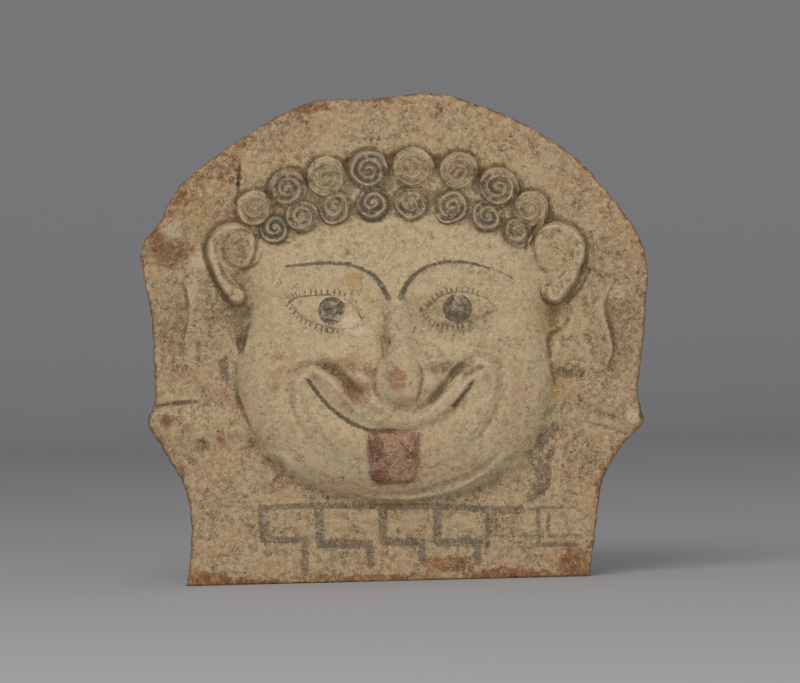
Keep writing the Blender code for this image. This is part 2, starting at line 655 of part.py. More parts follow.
def make_antefix(collection):
    edge, scale = drawn_edge()
    clay = bmesh.new()
    front_rim = front_face(clay, edge, scale)
    back_rim, scar = back_face(clay, edge, scale)
    for number in range(len(edge)):
        following = (number + 1) % len(edge)
        side = [front_rim[number], front_rim[following], back_rim[following], back_rim[number]]
        clay.faces.new(side)
    raise_scar(clay, scar)
    bmesh.ops.triangulate(clay, faces=[face for face in clay.faces if len(face.verts) > 3])
    bmesh.ops.recalc_face_normals(clay, faces=clay.faces)
    low = [min(corner.co[axis] for corner in clay.verts) for axis in range(3)]
    high = [max(corner.co[axis] for corner in clay.verts) for axis in range(3)]
    centring = (-(low[0] + high[0]) / 2.0, -(low[1] + high[1]) / 2.0, 0.0)
    bmesh.ops.translate(clay, verts=clay.verts, vec=centring)
    mesh = bpy.data.meshes.new("antefix")
    clay.to_mesh(mesh)
    clay.free()
    mesh.shade_smooth()
    mesh.set_sharp_from_angle(angle=math.radians(50.0))
    mesh.materials.append(clay_material())
    antefix = bpy.data.objects.new("antefix", mesh)
    collection.objects.link(antefix)


def main():
    for old in list(bpy.data.objects):
        bpy.data.objects.remove(old)
    collection = bpy.data.collections.new("gorgon antefix")
    bpy.context.scene.collection.children.link(collection)
    make_antefix(collection)


main()
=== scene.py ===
"""The gorgon antefix as it looks: weathered clay under a cream slip, with the remains of dark paint.

The face looks along -Y and the antefix stands on its cut base. As in the solid's own source, the
mask is drawn in millimetres on an upright sheet, x across and z up. The base was trimmed a little
out of square to that sheet, so the drawing is turned by that angle and brought to the solid's size.
"""

import itertools
import math

import bpy
import numpy as np
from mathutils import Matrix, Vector
from mathutils.geometry import delaunay_2d_cdt
from mathutils.kdtree import KDTree


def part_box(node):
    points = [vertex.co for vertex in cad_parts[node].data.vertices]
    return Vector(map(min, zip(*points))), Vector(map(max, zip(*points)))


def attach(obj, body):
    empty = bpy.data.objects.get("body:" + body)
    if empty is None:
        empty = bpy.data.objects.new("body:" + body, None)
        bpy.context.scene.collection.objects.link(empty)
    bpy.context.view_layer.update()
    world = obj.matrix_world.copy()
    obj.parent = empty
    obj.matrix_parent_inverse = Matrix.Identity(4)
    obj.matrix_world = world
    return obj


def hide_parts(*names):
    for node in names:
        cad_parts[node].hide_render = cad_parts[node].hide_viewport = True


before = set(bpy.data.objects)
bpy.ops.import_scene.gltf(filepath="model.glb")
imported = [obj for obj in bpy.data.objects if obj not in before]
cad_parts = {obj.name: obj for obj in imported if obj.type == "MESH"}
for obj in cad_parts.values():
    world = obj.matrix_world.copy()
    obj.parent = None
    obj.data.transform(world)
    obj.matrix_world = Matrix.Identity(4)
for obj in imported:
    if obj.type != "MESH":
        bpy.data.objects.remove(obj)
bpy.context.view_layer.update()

# The slab, in metres, as the solid has it
SLAB_THICKNESS = 0.024
TILE_RADIUS = 0.062
TILE_WALL = 0.015
TILE_SCAR_DEPTH = 0.0035

# How finely the clay is followed, in drawn millimetres
FINE_STEP = 0.5
OUTLINE_STEP = 0.85
BACK_STEP = 1.9
SIDE_ROWS = 10
LINE_STEPS = 8
SHEET_WIDTH = 240.0
SHEET_HEIGHT = 200.0
RIM_RINGS = (0.4, 0.95, 1.65, 2.5)
BACK_RINGS = (0.6, 1.6)
SCAR_ROWS = (-1.3, -0.5, 0.3, 1.1)
SCAR_STEP = 1.2

# The drawing starts here: all places and sizes below are drawn millimetres, x across and z up
TRIM_ANGLE = math.radians(1.43)
BASE_LEFT = -80.4
BASE_RIGHT = 81.0

LEFT_FLANK = [(-78.8, 10.4), (-78.8, 24.4), (-81.2, 37.6), (-88.4, 50.4), (-94.0, 59.2)]
LEFT_KNOB_AND_SIDE = [(-95.6, 64.4), (-93.0, 73.4), (-93.6, 88.4), (-94.4, 104.4), (-97.6, 122.4)]
LEFT_SHOULDER = [(-98.2, 134.0), (-90.8, 144.4), (-83.2, 158.0), (-70.8, 168.4)]
CROWN = [(-51.6, 181.6), (-30.8, 191.6), (-14.8, 193.2), (-8.8, 192.8), (17.2, 195.2), (33.2, 192.0)]
RIGHT_SHOULDER = [(49.2, 185.6), (65.2, 177.2), (81.2, 164.0), (95.2, 147.2), (101.8, 136.8)]
RIGHT_SIDE = [(104.4, 125.6), (104.0, 112.4), (102.4, 92.4), (100.8, 78.4), (101.6, 70.4)]
RIGHT_KNOB_AND_FLANK = [(102.8, 64.0), (99.6, 59.6), (92.4, 51.6), (86.8, 40.4), (84.8, 30.4), (83.2, 16.4)]
OUTLINE = (
    [(BASE_LEFT, BASE_LEFT * math.tan(TRIM_ANGLE))]
    + LEFT_FLANK
    + LEFT_KNOB_AND_SIDE
    + LEFT_SHOULDER
    + CROWN
    + RIGHT_SHOULDER
    + RIGHT_SIDE
    + RIGHT_KNOB_AND_FLANK
    + [(BASE_RIGHT, BASE_RIGHT * math.tan(TRIM_ANGLE))]
)

HEAD_CENTRE = (3.2, 84.4)
HEAD_HALF_WIDTH = 63.2
HEAD_TO_CHIN = 52.0
HEAD_TO_TOP = 82.0
HEAD_RELIEF = 17.0
JAW_SQUARENESS = 2.3
SKULL_SQUARENESS = 3.0

# Each curl is a round boss: centre, radius, where its spiral starts in turns and how much paint is left
UPPER_CURLS = [
    (-52.4, 148.6, 7.6, 0.10, 0.45),
    (-39.6, 156.2, 8.0, 0.35, 0.75),
    (-24.0, 161.0, 8.3, 0.80, 0.50),
    (-7.2, 163.6, 8.4, 0.20, 0.85),
    (10.4, 165.0, 8.5, 0.95, 0.35),
    (28.4, 163.2, 8.2, 0.00, 0.60),
    (44.4, 157.2, 8.3, 0.05, 0.80),
    (57.2, 148.6, 7.4, 0.90, 0.45),
]
LOWER_CURLS = [
    (-44.8, 140.6, 6.4, 0.40, 0.95),
    (-34.0, 145.2, 6.9, 0.60, 0.70),
    (-20.8, 149.2, 7.2, 0.10, 0.75),
    (-5.6, 150.4, 7.2, 0.45, 0.90),
    (9.6, 150.8, 7.3, 0.30, 0.70),
    (25.4, 149.4, 7.2, 0.00, 0.80),
    (40.0, 145.6, 7.0, 0.55, 0.75),
    (52.0, 139.4, 6.3, 0.05, 0.70),
]
CURL_RELIEF = 2.7
CURL_GROUND = 4.2
SPIRAL_PITCH = 2.9
SPIRAL_RELIEF = 0.36
# The hair under the curls: each row, how far its bed lies below its curls, and the bed's half width
HAIR_BEDS = [(UPPER_CURLS, 5.4, 7.4), (LOWER_CURLS, 0.0, 7.4)]
HAIR_BED_RELIEF = 1.0
# Notches between the upper curls: place and radius
CURL_NOTCHES = [
    (-46.8, 154.6, 2.8),
    (-32.6, 160.4, 3.2),
    (-15.6, 166.4, 3.4),
    (1.4, 168.0, 3.8),
    (19.6, 167.4, 3.4),
    (37.0, 162.6, 3.2),
    (51.6, 155.6, 2.8),
]
NOTCH_DEPTH = 1.9
# How strongly shade, with some grime, is painted into the notches
NOTCH_SHADE_AND_GRIME = 1.3

# An ear is a comma: its round head, then the tail from the rim down to the lobe, each with its radius
LEFT_EAR = [(-60.8, 132.2, 11.5), (-68.8, 130.2, 3.4), (-65.4, 120.8, 3.3), (-59.8, 114.2, 4.0)]
RIGHT_EAR = [(67.8, 131.8, 12.1), (76.6, 131.0, 3.2), (73.2, 120.8, 3.2), (66.8, 114.8, 4.3)]
EAR_RELIEF = 6.6
# How widely the head and the tail of the comma run together
EAR_WEB = 8.0
# The round of each ear inside its rim, with faint rings on it
EAR_ROUNDS = [(-57.6, 132.4, 7.6), (65.0, 131.7, 8.2)]
EAR_CREASE_DEPTH = 0.55
EAR_CREASE_WIDTH = 1.3
EAR_RING_PITCH = 2.3
EAR_RING_RELIEF = 0.11
EAR_STEEP_WIDTH = 2.0
EAR_SLOW_WIDTH = 5.0
# The way from each ear's middle to where it runs into the cheek, in radians below level
TOWARDS_CHEEK = 0.66
# The clay that fills the corner between each ear and the face: place, radius and relief
EAR_CORNERS = [
    (-55.0, 119.0, 13.0, 4.2),
    (-60.0, 121.4, 8.0, 5.6),
    (-51.0, 130.0, 10.0, 4.8),
    (61.0, 119.0, 13.0, 4.2),
    (66.8, 121.4, 8.4, 5.6),
    (57.0, 130.0, 10.0, 4.8),
]

# Where the cheeks break off beside the lobes: a line down each cheek's edge and the share lost outside it
CHEEK_EDGES = [
    ([(-44.0, 123.0), (-49.0, 112.0), (-53.2, 103.0), (-56.8, 93.0), (-60.8, 82.0)], 0.9),
    ([(52.0, 120.0), (57.6, 111.0), (61.8, 103.0), (64.2, 96.0), (66.4, 84.0)], 0.6),
]
CHEEK_EDGE_REACH = 14.0
CHEEK_EDGE_SLOPE = 3.4

# Eyes: centre, half length, half height and tilt in degrees
LEFT_EYE = (-23.2, 107.0, 15.4, 9.0, -12.0)
RIGHT_EYE = (27.6, 107.4, 15.8, 8.2, 4.0)
EYE_RELIEF = 1.5
SOCKET_DEPTH = 0.35
SOCKET_SHARE = 1.5

# The lids from the outer corner of the left eye and from the inner corner of the right one
LEFT_UPPER_LID = [
    (-38.6, 111.4), (-35.2, 113.3), (-27.6, 114.0),
    (-18.6, 113.9), (-12.3, 109.1), (-9.4, 103.7),
]
LEFT_LOWER_LID = [
    (-38.6, 111.4), (-34.0, 105.9), (-27.2, 102.6),
    (-19.3, 100.8), (-13.0, 101.3), (-9.4, 103.7),
]
RIGHT_UPPER_LID = [(14.7, 108.0), (21.1, 113.6), (29.7, 115.5), (38.3, 113.3), (42.8, 109.4)]
RIGHT_LOWER_LID = [(14.7, 108.0), (19.8, 103.4), (27.4, 102.8), (36.7, 105.6), (42.8, 109.4)]
# What is left of the lashes along each lid, from its first corner to its second
LASHES_LEFT = [
    (LEFT_UPPER_LID, (0.9, 1.0, 0.8, 0.9, 1.0, 0.9, 0.35, 0.45, 0.4, 0.6)),
    (LEFT_LOWER_LID, (0.5, 0.7, 0.6, 0.75, 0.85, 0.8, 0.4, 0.2, 0.5, 0.7)),
    (RIGHT_UPPER_LID, (0.6, 0.6, 0.7, 0.75, 0.7, 0.6, 0.6, 0.4, 0.2, 0.0)),
    (RIGHT_LOWER_LID, (0.5, 0.8, 0.9, 0.9, 0.95, 0.9, 0.5, 0.0, 0.0, 0.0)),
]
IRISES = [(-21.7, 108.0, 5.5), (27.9, 108.8, 5.8)]
LASH_SPACING = 1.8
SHORTEST_LASH = 1.7
LASHES_VARY = 0.9
# Each lid counts its lashes from a place of its own, so that no two lids are alike
LIDS_APART = 40.0

LEFT_BROW = [(-38.0, 125.4), (-26.0, 127.0), (-14.8, 126.0), (-6.8, 121.6), (0.8, 112.0)]
RIGHT_BROW = [(5.6, 112.4), (7.6, 117.2), (17.2, 126.0), (28.0, 127.4), (48.4, 121.6)]
BROW_RELIEF = 0.7
BROW_WIDTH = 3.2

NOSE_TOP = (3.4, 117.0)
NOSE_TIP = (6.0, 80.0)
NOSE_TOP_HALF_WIDTH = 4.6
NOSE_TIP_HALF_WIDTH = 10.4
NOSE_RELIEF = 6.6
NOSTRIL_WINGS = [(-10.0, 80.6, 5.4), (16.6, 79.4, 5.4)]
NOSTRIL_RELIEF = 4.2

CHEEKS = [(-24.0, 90.5, 14.0, 8.0), (31.0, 91.0, 14.0, 8.0)]
CHEEK_RELIEF = 2.2

UPPER_LIP_LEFT = [(-28.6, 84.4), (-22.8, 79.4), (-14.0, 72.4)]
UPPER_LIP_RIGHT = [(5.2, 65.0), (18.2, 68.2), (28.0, 75.4), (40.2, 84.4)]
UPPER_LIP = UPPER_LIP_LEFT + UPPER_LIP_RIGHT
LIP_RADIUS = 4.6
LIP_RELIEF = 1.9
MOUTH_SLIT_LEFT = [(-29.6, 78.4), (-22.8, 70.4), (-14.8, 64.4)]
MOUTH_SLIT_RIGHT = [(5.2, 59.6), (15.2, 62.4), (25.2, 68.4), (34.2, 78.4)]
MOUTH_SLIT = MOUTH_SLIT_LEFT + MOUTH_SLIT_RIGHT
SLIT_RADIUS = 1.7
SLIT_DEPTH = 0.5
LOWER_LIP_LEFT = [(-32.0, 79.0), (-30.0, 68.0), (-20.0, 57.5)]
LOWER_LIP_RIGHT = [(5.0, 51.0), (21.0, 55.5), (33.0, 66.0), (38.8, 79.0)]
LOWER_LIP = LOWER_LIP_LEFT + LOWER_LIP_RIGHT
LOWER_LIP_RADIUS = 5.8
LOWER_LIP_RELIEF = 1.0

TONGUE_TOP = 60.0
TONGUE_TIP = 39.4
TONGUE_MIDDLE = 2.8
TONGUE_HALF_WIDTH = 10.4
TONGUE_TIP_HALF_WIDTH = 9.0
TONGUE_CORNER = 4.0
TONGUE_RELIEF = 2.8

CHIN_LINE = [(-26.0, 38.4), (-8.0, 33.0), (8.0, 32.4), (24.0, 35.0), (39.6, 44.0)]
CHIN_LINE_RADIUS = 1.6
CHIN_LINE_RELIEF = 0.8

# Snakes: the line of the body, its half width and how far it stands out
SNAKES = [
    ([(-72.0, 124.0), (-73.4, 111.0), (-71.6, 99.0), (-68.0, 86.0)], 9.0, 2.0),
    ([(-66.0, 98.0), (-64.6, 87.0), (-67.0, 76.0)], 8.0, 3.0),
    ([(-88.6, 62.0), (-78.8, 62.0), (-66.0, 63.0), (-52.0, 64.0)], 8.6, 3.0),
    ([(-67.0, 60.0), (-66.6, 50.0), (-61.4, 39.0)], 5.0, 1.0),
    ([(79.6, 131.0), (81.0, 112.4), (80.4, 98.0), (76.0, 84.0)], 9.0, 2.2),
    ([(73.4, 98.0), (72.4, 88.0), (75.5, 79.0)], 8.0, 3.0),
    ([(76.2, 77.4), (90.6, 72.4), (98.6, 67.0)], 8.0, 2.8),
    ([(70.6, 54.8), (69.2, 44.0), (67.2, 31.0)], 5.0, 1.1),
]
# Snakes' coils seen as rings: centre, radius of the ring's middle and its half width
COILS = [(-45.6, 44.6, 6.4, 2.6), (-60.2, 57.0, 3.6, 2.0), (-74.0, 53.4, 4.6, 2.6), (56.4, 42.0, 6.4, 2.6)]
COIL_RELIEF = 0.7
SNAKE_EYES = [(-87.6, 64.2, 2.8), (101.2, 66.0, 1.8)]
SNAKE_EYE_DEPTH = 1.2

# Hollows beside the snakes and the cheeks: line, half width and depth
HOLLOWS = [
    ([(-93.6, 70.0), (-78.0, 72.8), (-60.0, 74.0)], 4.0, 1.0),
    ([(-58.2, 100.0), (-60.6, 90.0), (-61.0, 80.0), (-55.0, 64.0), (-46.0, 50.0)], 3.4, 1.4),
    ([(66.0, 100.0), (66.0, 90.0), (65.0, 78.0), (60.0, 62.0)], 3.0, 1.2),
    ([(80.0, 64.0), (94.0, 60.0)], 3.6, 0.9),
    ([(-86.6, 118.0), (-86.0, 106.0), (-87.0, 94.0)], 7.0, 1.4),
    ([(95.0, 120.0), (96.4, 106.0), (96.6, 92.0)], 7.4, 1.2),
]
# How far the big forms have been softened by pressing and wear
BODY_SOFTNESS = 1.9
FACE_SOFTNESS = 0.8

# The lost flake at the upper left: a line that bounds it and how deep it went
FLAKE_EDGE = [(-97.0, 134.0), (-82.0, 146.0), (-72.4, 159.2), (-59.6, 158.0), (-57.6, 170.0)]
FLAKE_DEPTH = 1.6
FLAKE_SLOPE_WIDTH = 2.5
BEYOND_FLAKE = 1000.0

# The fold down the right of the plate, and the folds that climb from the lips round the mouth's corners
RIGHT_FOLD = [
    (83.6, 83.0), (87.6, 87.0), (89.4, 93.0), (88.2, 99.0),
    (86.0, 107.6), (87.2, 114.6), (91.0, 121.0),
]
LEFT_MOUTH_FOLD = [
    (-10.0, 67.0), (-17.0, 75.0), (-21.6, 80.6), (-27.6, 83.6),
    (-32.6, 82.2), (-35.8, 77.6), (-35.4, 71.0),
]
RIGHT_MOUTH_FOLD = [
    (16.0, 68.4), (23.4, 76.0), (30.4, 84.4), (36.0, 87.2),
    (41.0, 85.2), (42.4, 79.4), (40.8, 72.0),
]
# Folds: a steep step on the right-hand side of the line and a slow fall on its left-hand side,
# as line, width of the steep side, width of the slow side and relief
FOLDS = [
    ([(-82.4, 120.8), (-79.4, 116.6), (-78.2, 109.0), (-79.2, 100.0), (-81.6, 93.6)], 1.6, 9.0, 1.4),
    (RIGHT_FOLD, 1.6, 8.0, 1.6),
    ([(-94.4, 58.0), (-94.0, 64.0), (-91.6, 67.4)], 0.9, 2.4, 0.9),
    ([(-74.6, 70.4), (-85.6, 69.0), (-95.0, 66.6)], 1.4, 5.0, 0.6),
    ([(98.0, 59.6), (88.0, 63.4), (78.0, 66.2)], 1.6, 5.0, 0.7),
]

# Finer ridges that lie on the carving: line, half width and relief
FINE_RIDGES = [
    ([(-64.8, 58.4), (-64.6, 50.4), (-60.4, 41.6)], 1.6, 0.45),
    ([(69.2, 54.4), (68.8, 44.0), (67.2, 32.4)], 1.6, 0.45),
    ([(60.0, 53.0), (59.2, 46.0), (60.4, 40.0)], 1.4, 0.35),
    (LEFT_MOUTH_FOLD, 2.9, 1.2),
    ([(-36.0, 76.0), (-34.8, 67.0), (-31.0, 59.0), (-25.4, 53.0), (-16.0, 47.4)], 3.4, 0.5),
    (RIGHT_MOUTH_FOLD, 2.9, 1.2),
    ([(42.0, 78.0), (40.0, 68.9), (34.6, 60.2), (25.9, 51.9), (15.2, 46.0)], 3.4, 0.5),
    ([(30.6, 79.6), (35.0, 83.8), (38.8, 83.0)], 3.0, 1.1),
    ([(-16.0, 36.4), (-4.0, 33.5), (8.0, 33.0), (22.8, 35.5), (30.8, 38.6), (40.9, 44.6)], 1.5, 0.8),
    ([(80.6, 124.0), (81.0, 129.6), (79.4, 134.6), (75.6, 139.0)], 0.8, 0.5),
    ([(66.4, 118.8), (70.6, 121.6), (74.0, 127.4), (75.2, 133.4)], 0.8, 0.45),
]

# Finer creases cut into the carving: line, half width and depth
CREASES = [
    ([(-73.6, 134.6), (-71.9, 127.6), (-68.4, 119.4), (-63.6, 110.4)], 1.4, 1.3),
    ([(-67.6, 130.0), (-65.0, 122.4), (-60.6, 118.0), (-56.0, 115.4)], 1.1, 0.8),
    ([(-49.2, 133.6), (-51.4, 127.0), (-57.0, 124.4)], 1.0, 0.7),
    ([(63.4, 146.0), (58.8, 141.4), (55.4, 135.0), (55.6, 129.0)], 0.9, 1.6),
    ([(79.0, 136.6), (79.2, 131.2), (76.8, 123.6), (72.6, 115.4)], 0.8, 0.6),
    ([(81.4, 126.0), (77.0, 117.0), (70.4, 109.8)], 1.1, 0.8),
    ([(74.4, 134.0), (73.2, 127.0), (68.4, 121.0), (62.6, 117.8)], 1.0, 0.7),
    ([(61.6, 119.6), (61.4, 114.4), (64.2, 110.0)], 1.0, 0.9),
    ([(46.8, 52.6), (38.0, 45.6), (28.6, 40.6), (12.0, 35.8), (0.0, 35.0)], 2.2, 1.1),
    ([(-40.0, 53.0), (-31.0, 44.0), (-20.0, 39.4)], 3.0, 0.4),
    ([(-28.0, 88.0), (-21.4, 84.8), (-15.0, 77.6), (-8.4, 69.6), (-2.0, 66.6)], 4.2, 2.2),
    ([(-23.0, 85.4), (-31.0, 87.0), (-38.0, 82.8), (-39.4, 75.0), (-37.0, 66.0), (-29.6, 55.6)], 2.4, 1.0),
    ([(29.0, 88.8), (37.0, 90.6), (44.6, 86.4), (46.0, 78.0), (43.6, 68.0), (35.6, 56.0)], 2.4, 0.9),
    ([(10.0, 66.6), (16.6, 71.0), (22.6, 77.2), (28.8, 85.0), (36.0, 89.4)], 3.2, 2.0),
    ([(12.6, 88.0), (14.2, 82.0), (13.0, 76.0), (11.4, 71.0)], 1.4, 1.1),
    ([(-3.4, 88.0), (-5.0, 82.0), (-4.6, 76.0), (-2.0, 71.0)], 1.4, 1.0),
    ([(-58.6, 168.0), (-59.2, 161.0), (-59.8, 155.6)], 0.8, 1.4),
    ([(-39.6, 110.8), (-35.2, 113.3), (-27.6, 114.0), (-16.6, 113.4)], 0.7, 0.2),
    ([(13.7, 107.0), (21.1, 113.6), (29.7, 115.5), (40.3, 112.3)], 0.7, 0.2),
    ([(63.6, 98.6), (66.8, 99.4), (71.0, 102.4), (73.8, 110.0)], 1.6, 1.1),
    ([(64.0, 98.0), (64.6, 91.0), (66.0, 84.0), (67.4, 77.0)], 1.7, 1.0),
    ([(-54.4, 104.0), (-57.0, 97.0), (-59.0, 90.0)], 2.2, 1.2),
    ([(-59.0, 89.0), (-61.2, 80.0), (-60.0, 74.0), (-57.0, 67.0), (-52.4, 56.4)], 1.8, 1.0),
    ([(-94.6, 69.0), (-85.6, 71.0), (-74.0, 72.0)], 1.0, 1.0),
    ([(97.0, 57.6), (88.0, 61.0), (77.0, 64.0)], 1.2, 0.7),
    ([(89.8, 104.0), (90.6, 97.0), (91.0, 91.6)], 1.2, 0.7),
]

# Pits and small losses: place, radius and depth
PITS = [
    (64.6, 97.0, 1.8, 1.0),
    (-58.2, 95.4, 2.6, 1.6),
    (-71.2, 165.2, 1.6, 1.0),
    (-80.8, 154.8, 1.6, 1.0),
    (-26.4, 181.6, 1.3, 0.9),
    (-40.4, 183.2, 1.3, 0.9),
    (9.6, 79.2, 0.9, 1.0),
    (0.8, 95.2, 0.9, 0.9),
    (-5.6, 83.6, 2.6, 0.5),
    (16.4, 78.6, 1.9, 0.5),
    (-59.6, 158.6, 1.1, 1.6),
    (22.6, 40.4, 0.9, 0.8),
    (101.8, 66.4, 1.5, 1.6),
]
# A small pellet of clay by the hairline: place and radius of its ring
PELLET = (7.2, 143.2, 1.7)
PELLET_RIM = 0.9
PELLET_RELIEF = 0.4

# Painted lines: the line, half width at its start and at its end, and how much paint is left
BROW_STROKES = [
    ([(-40.0, 125.6), (-36.0, 125.9), (-30.4, 126.5)], 0.42, 0.7, 0.8),
    ([(-30.4, 126.5), (-25.7, 126.8), (-20.0, 126.7), (-14.6, 126.3)], 0.65, 0.9, 0.9),
    ([(-14.6, 126.3), (-11.0, 124.9)], 0.55, 0.65, 0.7),
    ([(-11.0, 124.9), (-6.5, 122.8), (-3.6, 120.0), (-1.1, 116.1), (0.6, 112.8)], 0.75, 1.2, 0.92),
    ([(5.5, 113.0), (6.4, 115.8), (8.3, 119.0), (11.2, 122.2)], 1.2, 0.95, 0.9),
    ([(11.2, 122.2), (15.0, 124.9), (19.2, 126.5), (23.9, 127.3)], 0.85, 0.75, 0.78),
    ([(23.9, 127.3), (30.3, 127.2), (35.4, 126.3), (40.5, 124.8)], 0.75, 0.5, 0.86),
    ([(43.8, 124.0), (47.2, 122.2), (49.4, 121.0)], 0.35, 0.3, 0.6),
]
MOUTH_STROKES = [
    ([(-31.0, 80.4), (-26.0, 73.5), (-20.0, 67.6), (-14.7, 63.9)], 0.85, 0.9, 0.86),
    ([(-14.7, 63.9), (-7.7, 60.9), (-1.3, 60.5), (3.0, 60.6)], 0.85, 0.8, 0.78),
    ([(3.0, 60.6), (8.0, 61.0), (14.0, 62.4), (20.0, 65.6), (26.4, 70.0)], 0.7, 0.7, 0.38),
    ([(26.4, 70.4), (29.6, 74.0), (34.0, 80.2)], 1.1, 0.9, 0.62),
    ([(-19.0, 53.0), (-13.6, 50.4)], 0.7, 0.6, 0.35),
    ([(13.6, 51.0), (14.2, 46.0), (12.4, 41.0)], 0.7, 0.7, 0.4),
]
LID_STROKES = [
    ([(-39.0, 111.2), (-35.2, 113.3), (-32.0, 113.7), (-27.6, 114.1), (-22.5, 114.3)], 0.34, 0.26, 0.7),
    ([(-34.0, 105.9), (-30.4, 103.7), (-27.2, 102.7), (-24.4, 101.8)], 0.26, 0.3, 0.55),
    ([(-11.6, 107.6), (-9.8, 104.4)], 0.2, 0.3, 0.6),
    ([(14.7, 108.0), (17.6, 111.0), (21.1, 113.6), (24.9, 115.0)], 0.26, 0.26, 0.62),
    ([(33.8, 114.6), (38.3, 113.2), (41.5, 111.6)], 0.5, 0.5, 0.45),
    ([(32.4, 103.4), (38.0, 105.6), (43.8, 108.8)], 0.75, 0.6, 0.5),
    ([(11.2, 101.4), (10.4, 99.4)], 0.3, 0.2, 0.9),
]
BASE_BAND_STROKES = [
    ([(-76.0, 30.6), (-60.0, 29.8), (-50.6, 29.4)], 0.35, 0.55, 0.5),
    ([(-50.6, 29.4), (-28.2, 30.1), (-3.5, 30.0)], 1.1, 1.3, 0.72),
    ([(-3.5, 30.0), (18.4, 29.9), (32.0, 29.4)], 1.35, 1.2, 0.74),
    ([(32.0, 29.3), (43.6, 28.6), (53.7, 28.4)], 1.4, 1.7, 0.62),
    ([(53.7, 28.6), (58.0, 29.0)], 1.0, 0.5, 0.45),
    ([(60.4, 29.5), (74.8, 29.6)], 0.75, 0.6, 0.6),
]
# The meander: each hook is a run of straight lines from the band down, its half width and paint
MEANDER = [
    ([(-50.6, 29.0), (-50.4, 17.0)], 0.85, 0.78),
    ([(-48.4, 29.0), (-48.2, 17.0)], 1.6, 0.54),
    ([(-49.6, 16.7), (-33.2, 16.5)], 1.4, 0.72),
    ([(-32.9, 16.7), (-32.8, 3.4)], 1.5, 0.6),
    ([(-27.2, 30.0), (-26.6, 15.0), (-7.4, 14.9)], 1.85, 0.68),
    ([(-6.8, 15.4), (-6.6, 6.4)], 1.6, 0.64),
    ([(-1.8, 29.0), (-1.4, 15.9), (14.0, 15.7)], 1.75, 0.72),
    ([(13.8, 15.6), (13.8, 8.8)], 1.4, 0.7),
    ([(20.1, 29.0), (20.2, 15.6), (36.2, 15.5)], 1.8, 0.72),
    ([(36.1, 15.4), (36.2, 7.6)], 1.6, 0.7),
    ([(40.2, 29.0), (40.0, 13.8)], 1.1, 0.62),
    ([(42.8, 29.0), (42.6, 20.6)], 2.0, 0.5),
    ([(39.6, 18.4), (58.2, 18.3)], 0.5, 0.52),
    ([(41.3, 13.6), (57.6, 13.5)], 0.55, 0.48),
    ([(60.5, 28.6), (60.6, 14.8), (75.0, 14.6)], 0.95, 0.68),
    ([(64.6, 27.0), (64.4, 18.2), (77.0, 18.3)], 0.85, 0.54),
]
# Dashes and patches of paint on and by the curls
CURL_STROKES = [
    ([(-54.6, 145.0), (-52.4, 145.6)], 1.0, 1.0, 0.62),
    ([(-38.8, 154.8), (-37.4, 156.4), (-35.4, 157.6)], 1.0, 0.8, 0.62),
    ([(-28.8, 163.6), (-26.0, 165.6)], 0.7, 0.6, 0.8),
    ([(-12.2, 166.4), (-12.2, 162.6), (-9.2, 159.8), (-4.8, 159.6)], 0.9, 0.9, 0.62),
    ([(-8.0, 163.4), (-5.8, 162.8)], 0.9, 0.8, 0.7),
    ([(-2.2, 163.6), (1.0, 162.2)], 1.4, 1.2, 0.62),
    ([(-46.4, 143.0), (-43.4, 144.4), (-41.0, 141.2)], 1.1, 1.1, 0.66),
    ([(-48.6, 137.6), (-50.4, 139.6)], 0.9, 0.9, 0.7),
    ([(-45.8, 135.0), (-41.4, 134.2), (-38.8, 135.2)], 0.4, 0.45, 0.85),
    ([(-52.0, 141.8), (-49.0, 141.8)], 1.0, 0.8, 0.62),
    ([(-30.2, 148.4), (-29.2, 144.6)], 0.9, 0.9, 0.64),
    ([(-38.4, 141.4), (-34.2, 139.8)], 0.9, 0.9, 0.62),
    ([(-25.8, 148.4), (-25.0, 144.2)], 1.0, 1.0, 0.66),
    ([(-19.6, 150.6), (-17.0, 151.4)], 0.9, 0.8, 0.55),
    ([(-10.6, 153.2), (-10.8, 147.4), (-8.4, 144.2), (-2.4, 143.8)], 0.95, 0.8, 0.66),
    ([(-8.6, 155.4), (-4.6, 155.6)], 0.9, 0.6, 0.66),
    ([(-6.0, 148.2), (-3.2, 149.0)], 0.7, 0.5, 0.85),
    ([(5.2, 161.4), (8.4, 159.4), (11.8, 159.8)], 0.95, 0.7, 0.66),
    ([(33.2, 165.4), (34.2, 162.6)], 0.9, 0.9, 0.62),
    ([(22.6, 160.0), (25.6, 157.6)], 0.9, 0.7, 0.66),
    ([(36.0, 159.4), (38.4, 156.8)], 1.4, 1.2, 0.64),
    ([(40.6, 160.0), (41.4, 155.8)], 0.9, 0.9, 0.7),
    ([(53.6, 148.4), (55.0, 146.0)], 0.9, 0.8, 0.6),
    ([(5.2, 157.0), (8.8, 156.6)], 0.8, 0.5, 0.55),
    ([(5.0, 150.4), (6.4, 147.6), (10.4, 147.8)], 1.0, 1.0, 0.66),
    ([(20.8, 153.6), (20.6, 149.6)], 0.9, 0.7, 0.5),
    ([(23.8, 146.2), (28.0, 146.6)], 0.7, 0.6, 0.6),
    ([(31.8, 147.4), (33.2, 145.2)], 1.0, 0.9, 0.62),
    ([(37.4, 145.2), (39.6, 143.2), (42.0, 143.0)], 1.2, 1.0, 0.72),
    ([(37.6, 149.9), (43.0, 149.7)], 0.42, 0.42, 0.85),
    ([(54.8, 140.4), (55.8, 137.8)], 0.9, 0.8, 0.6),
    ([(50.2, 139.8), (52.8, 138.0)], 0.8, 0.7, 0.5),
]
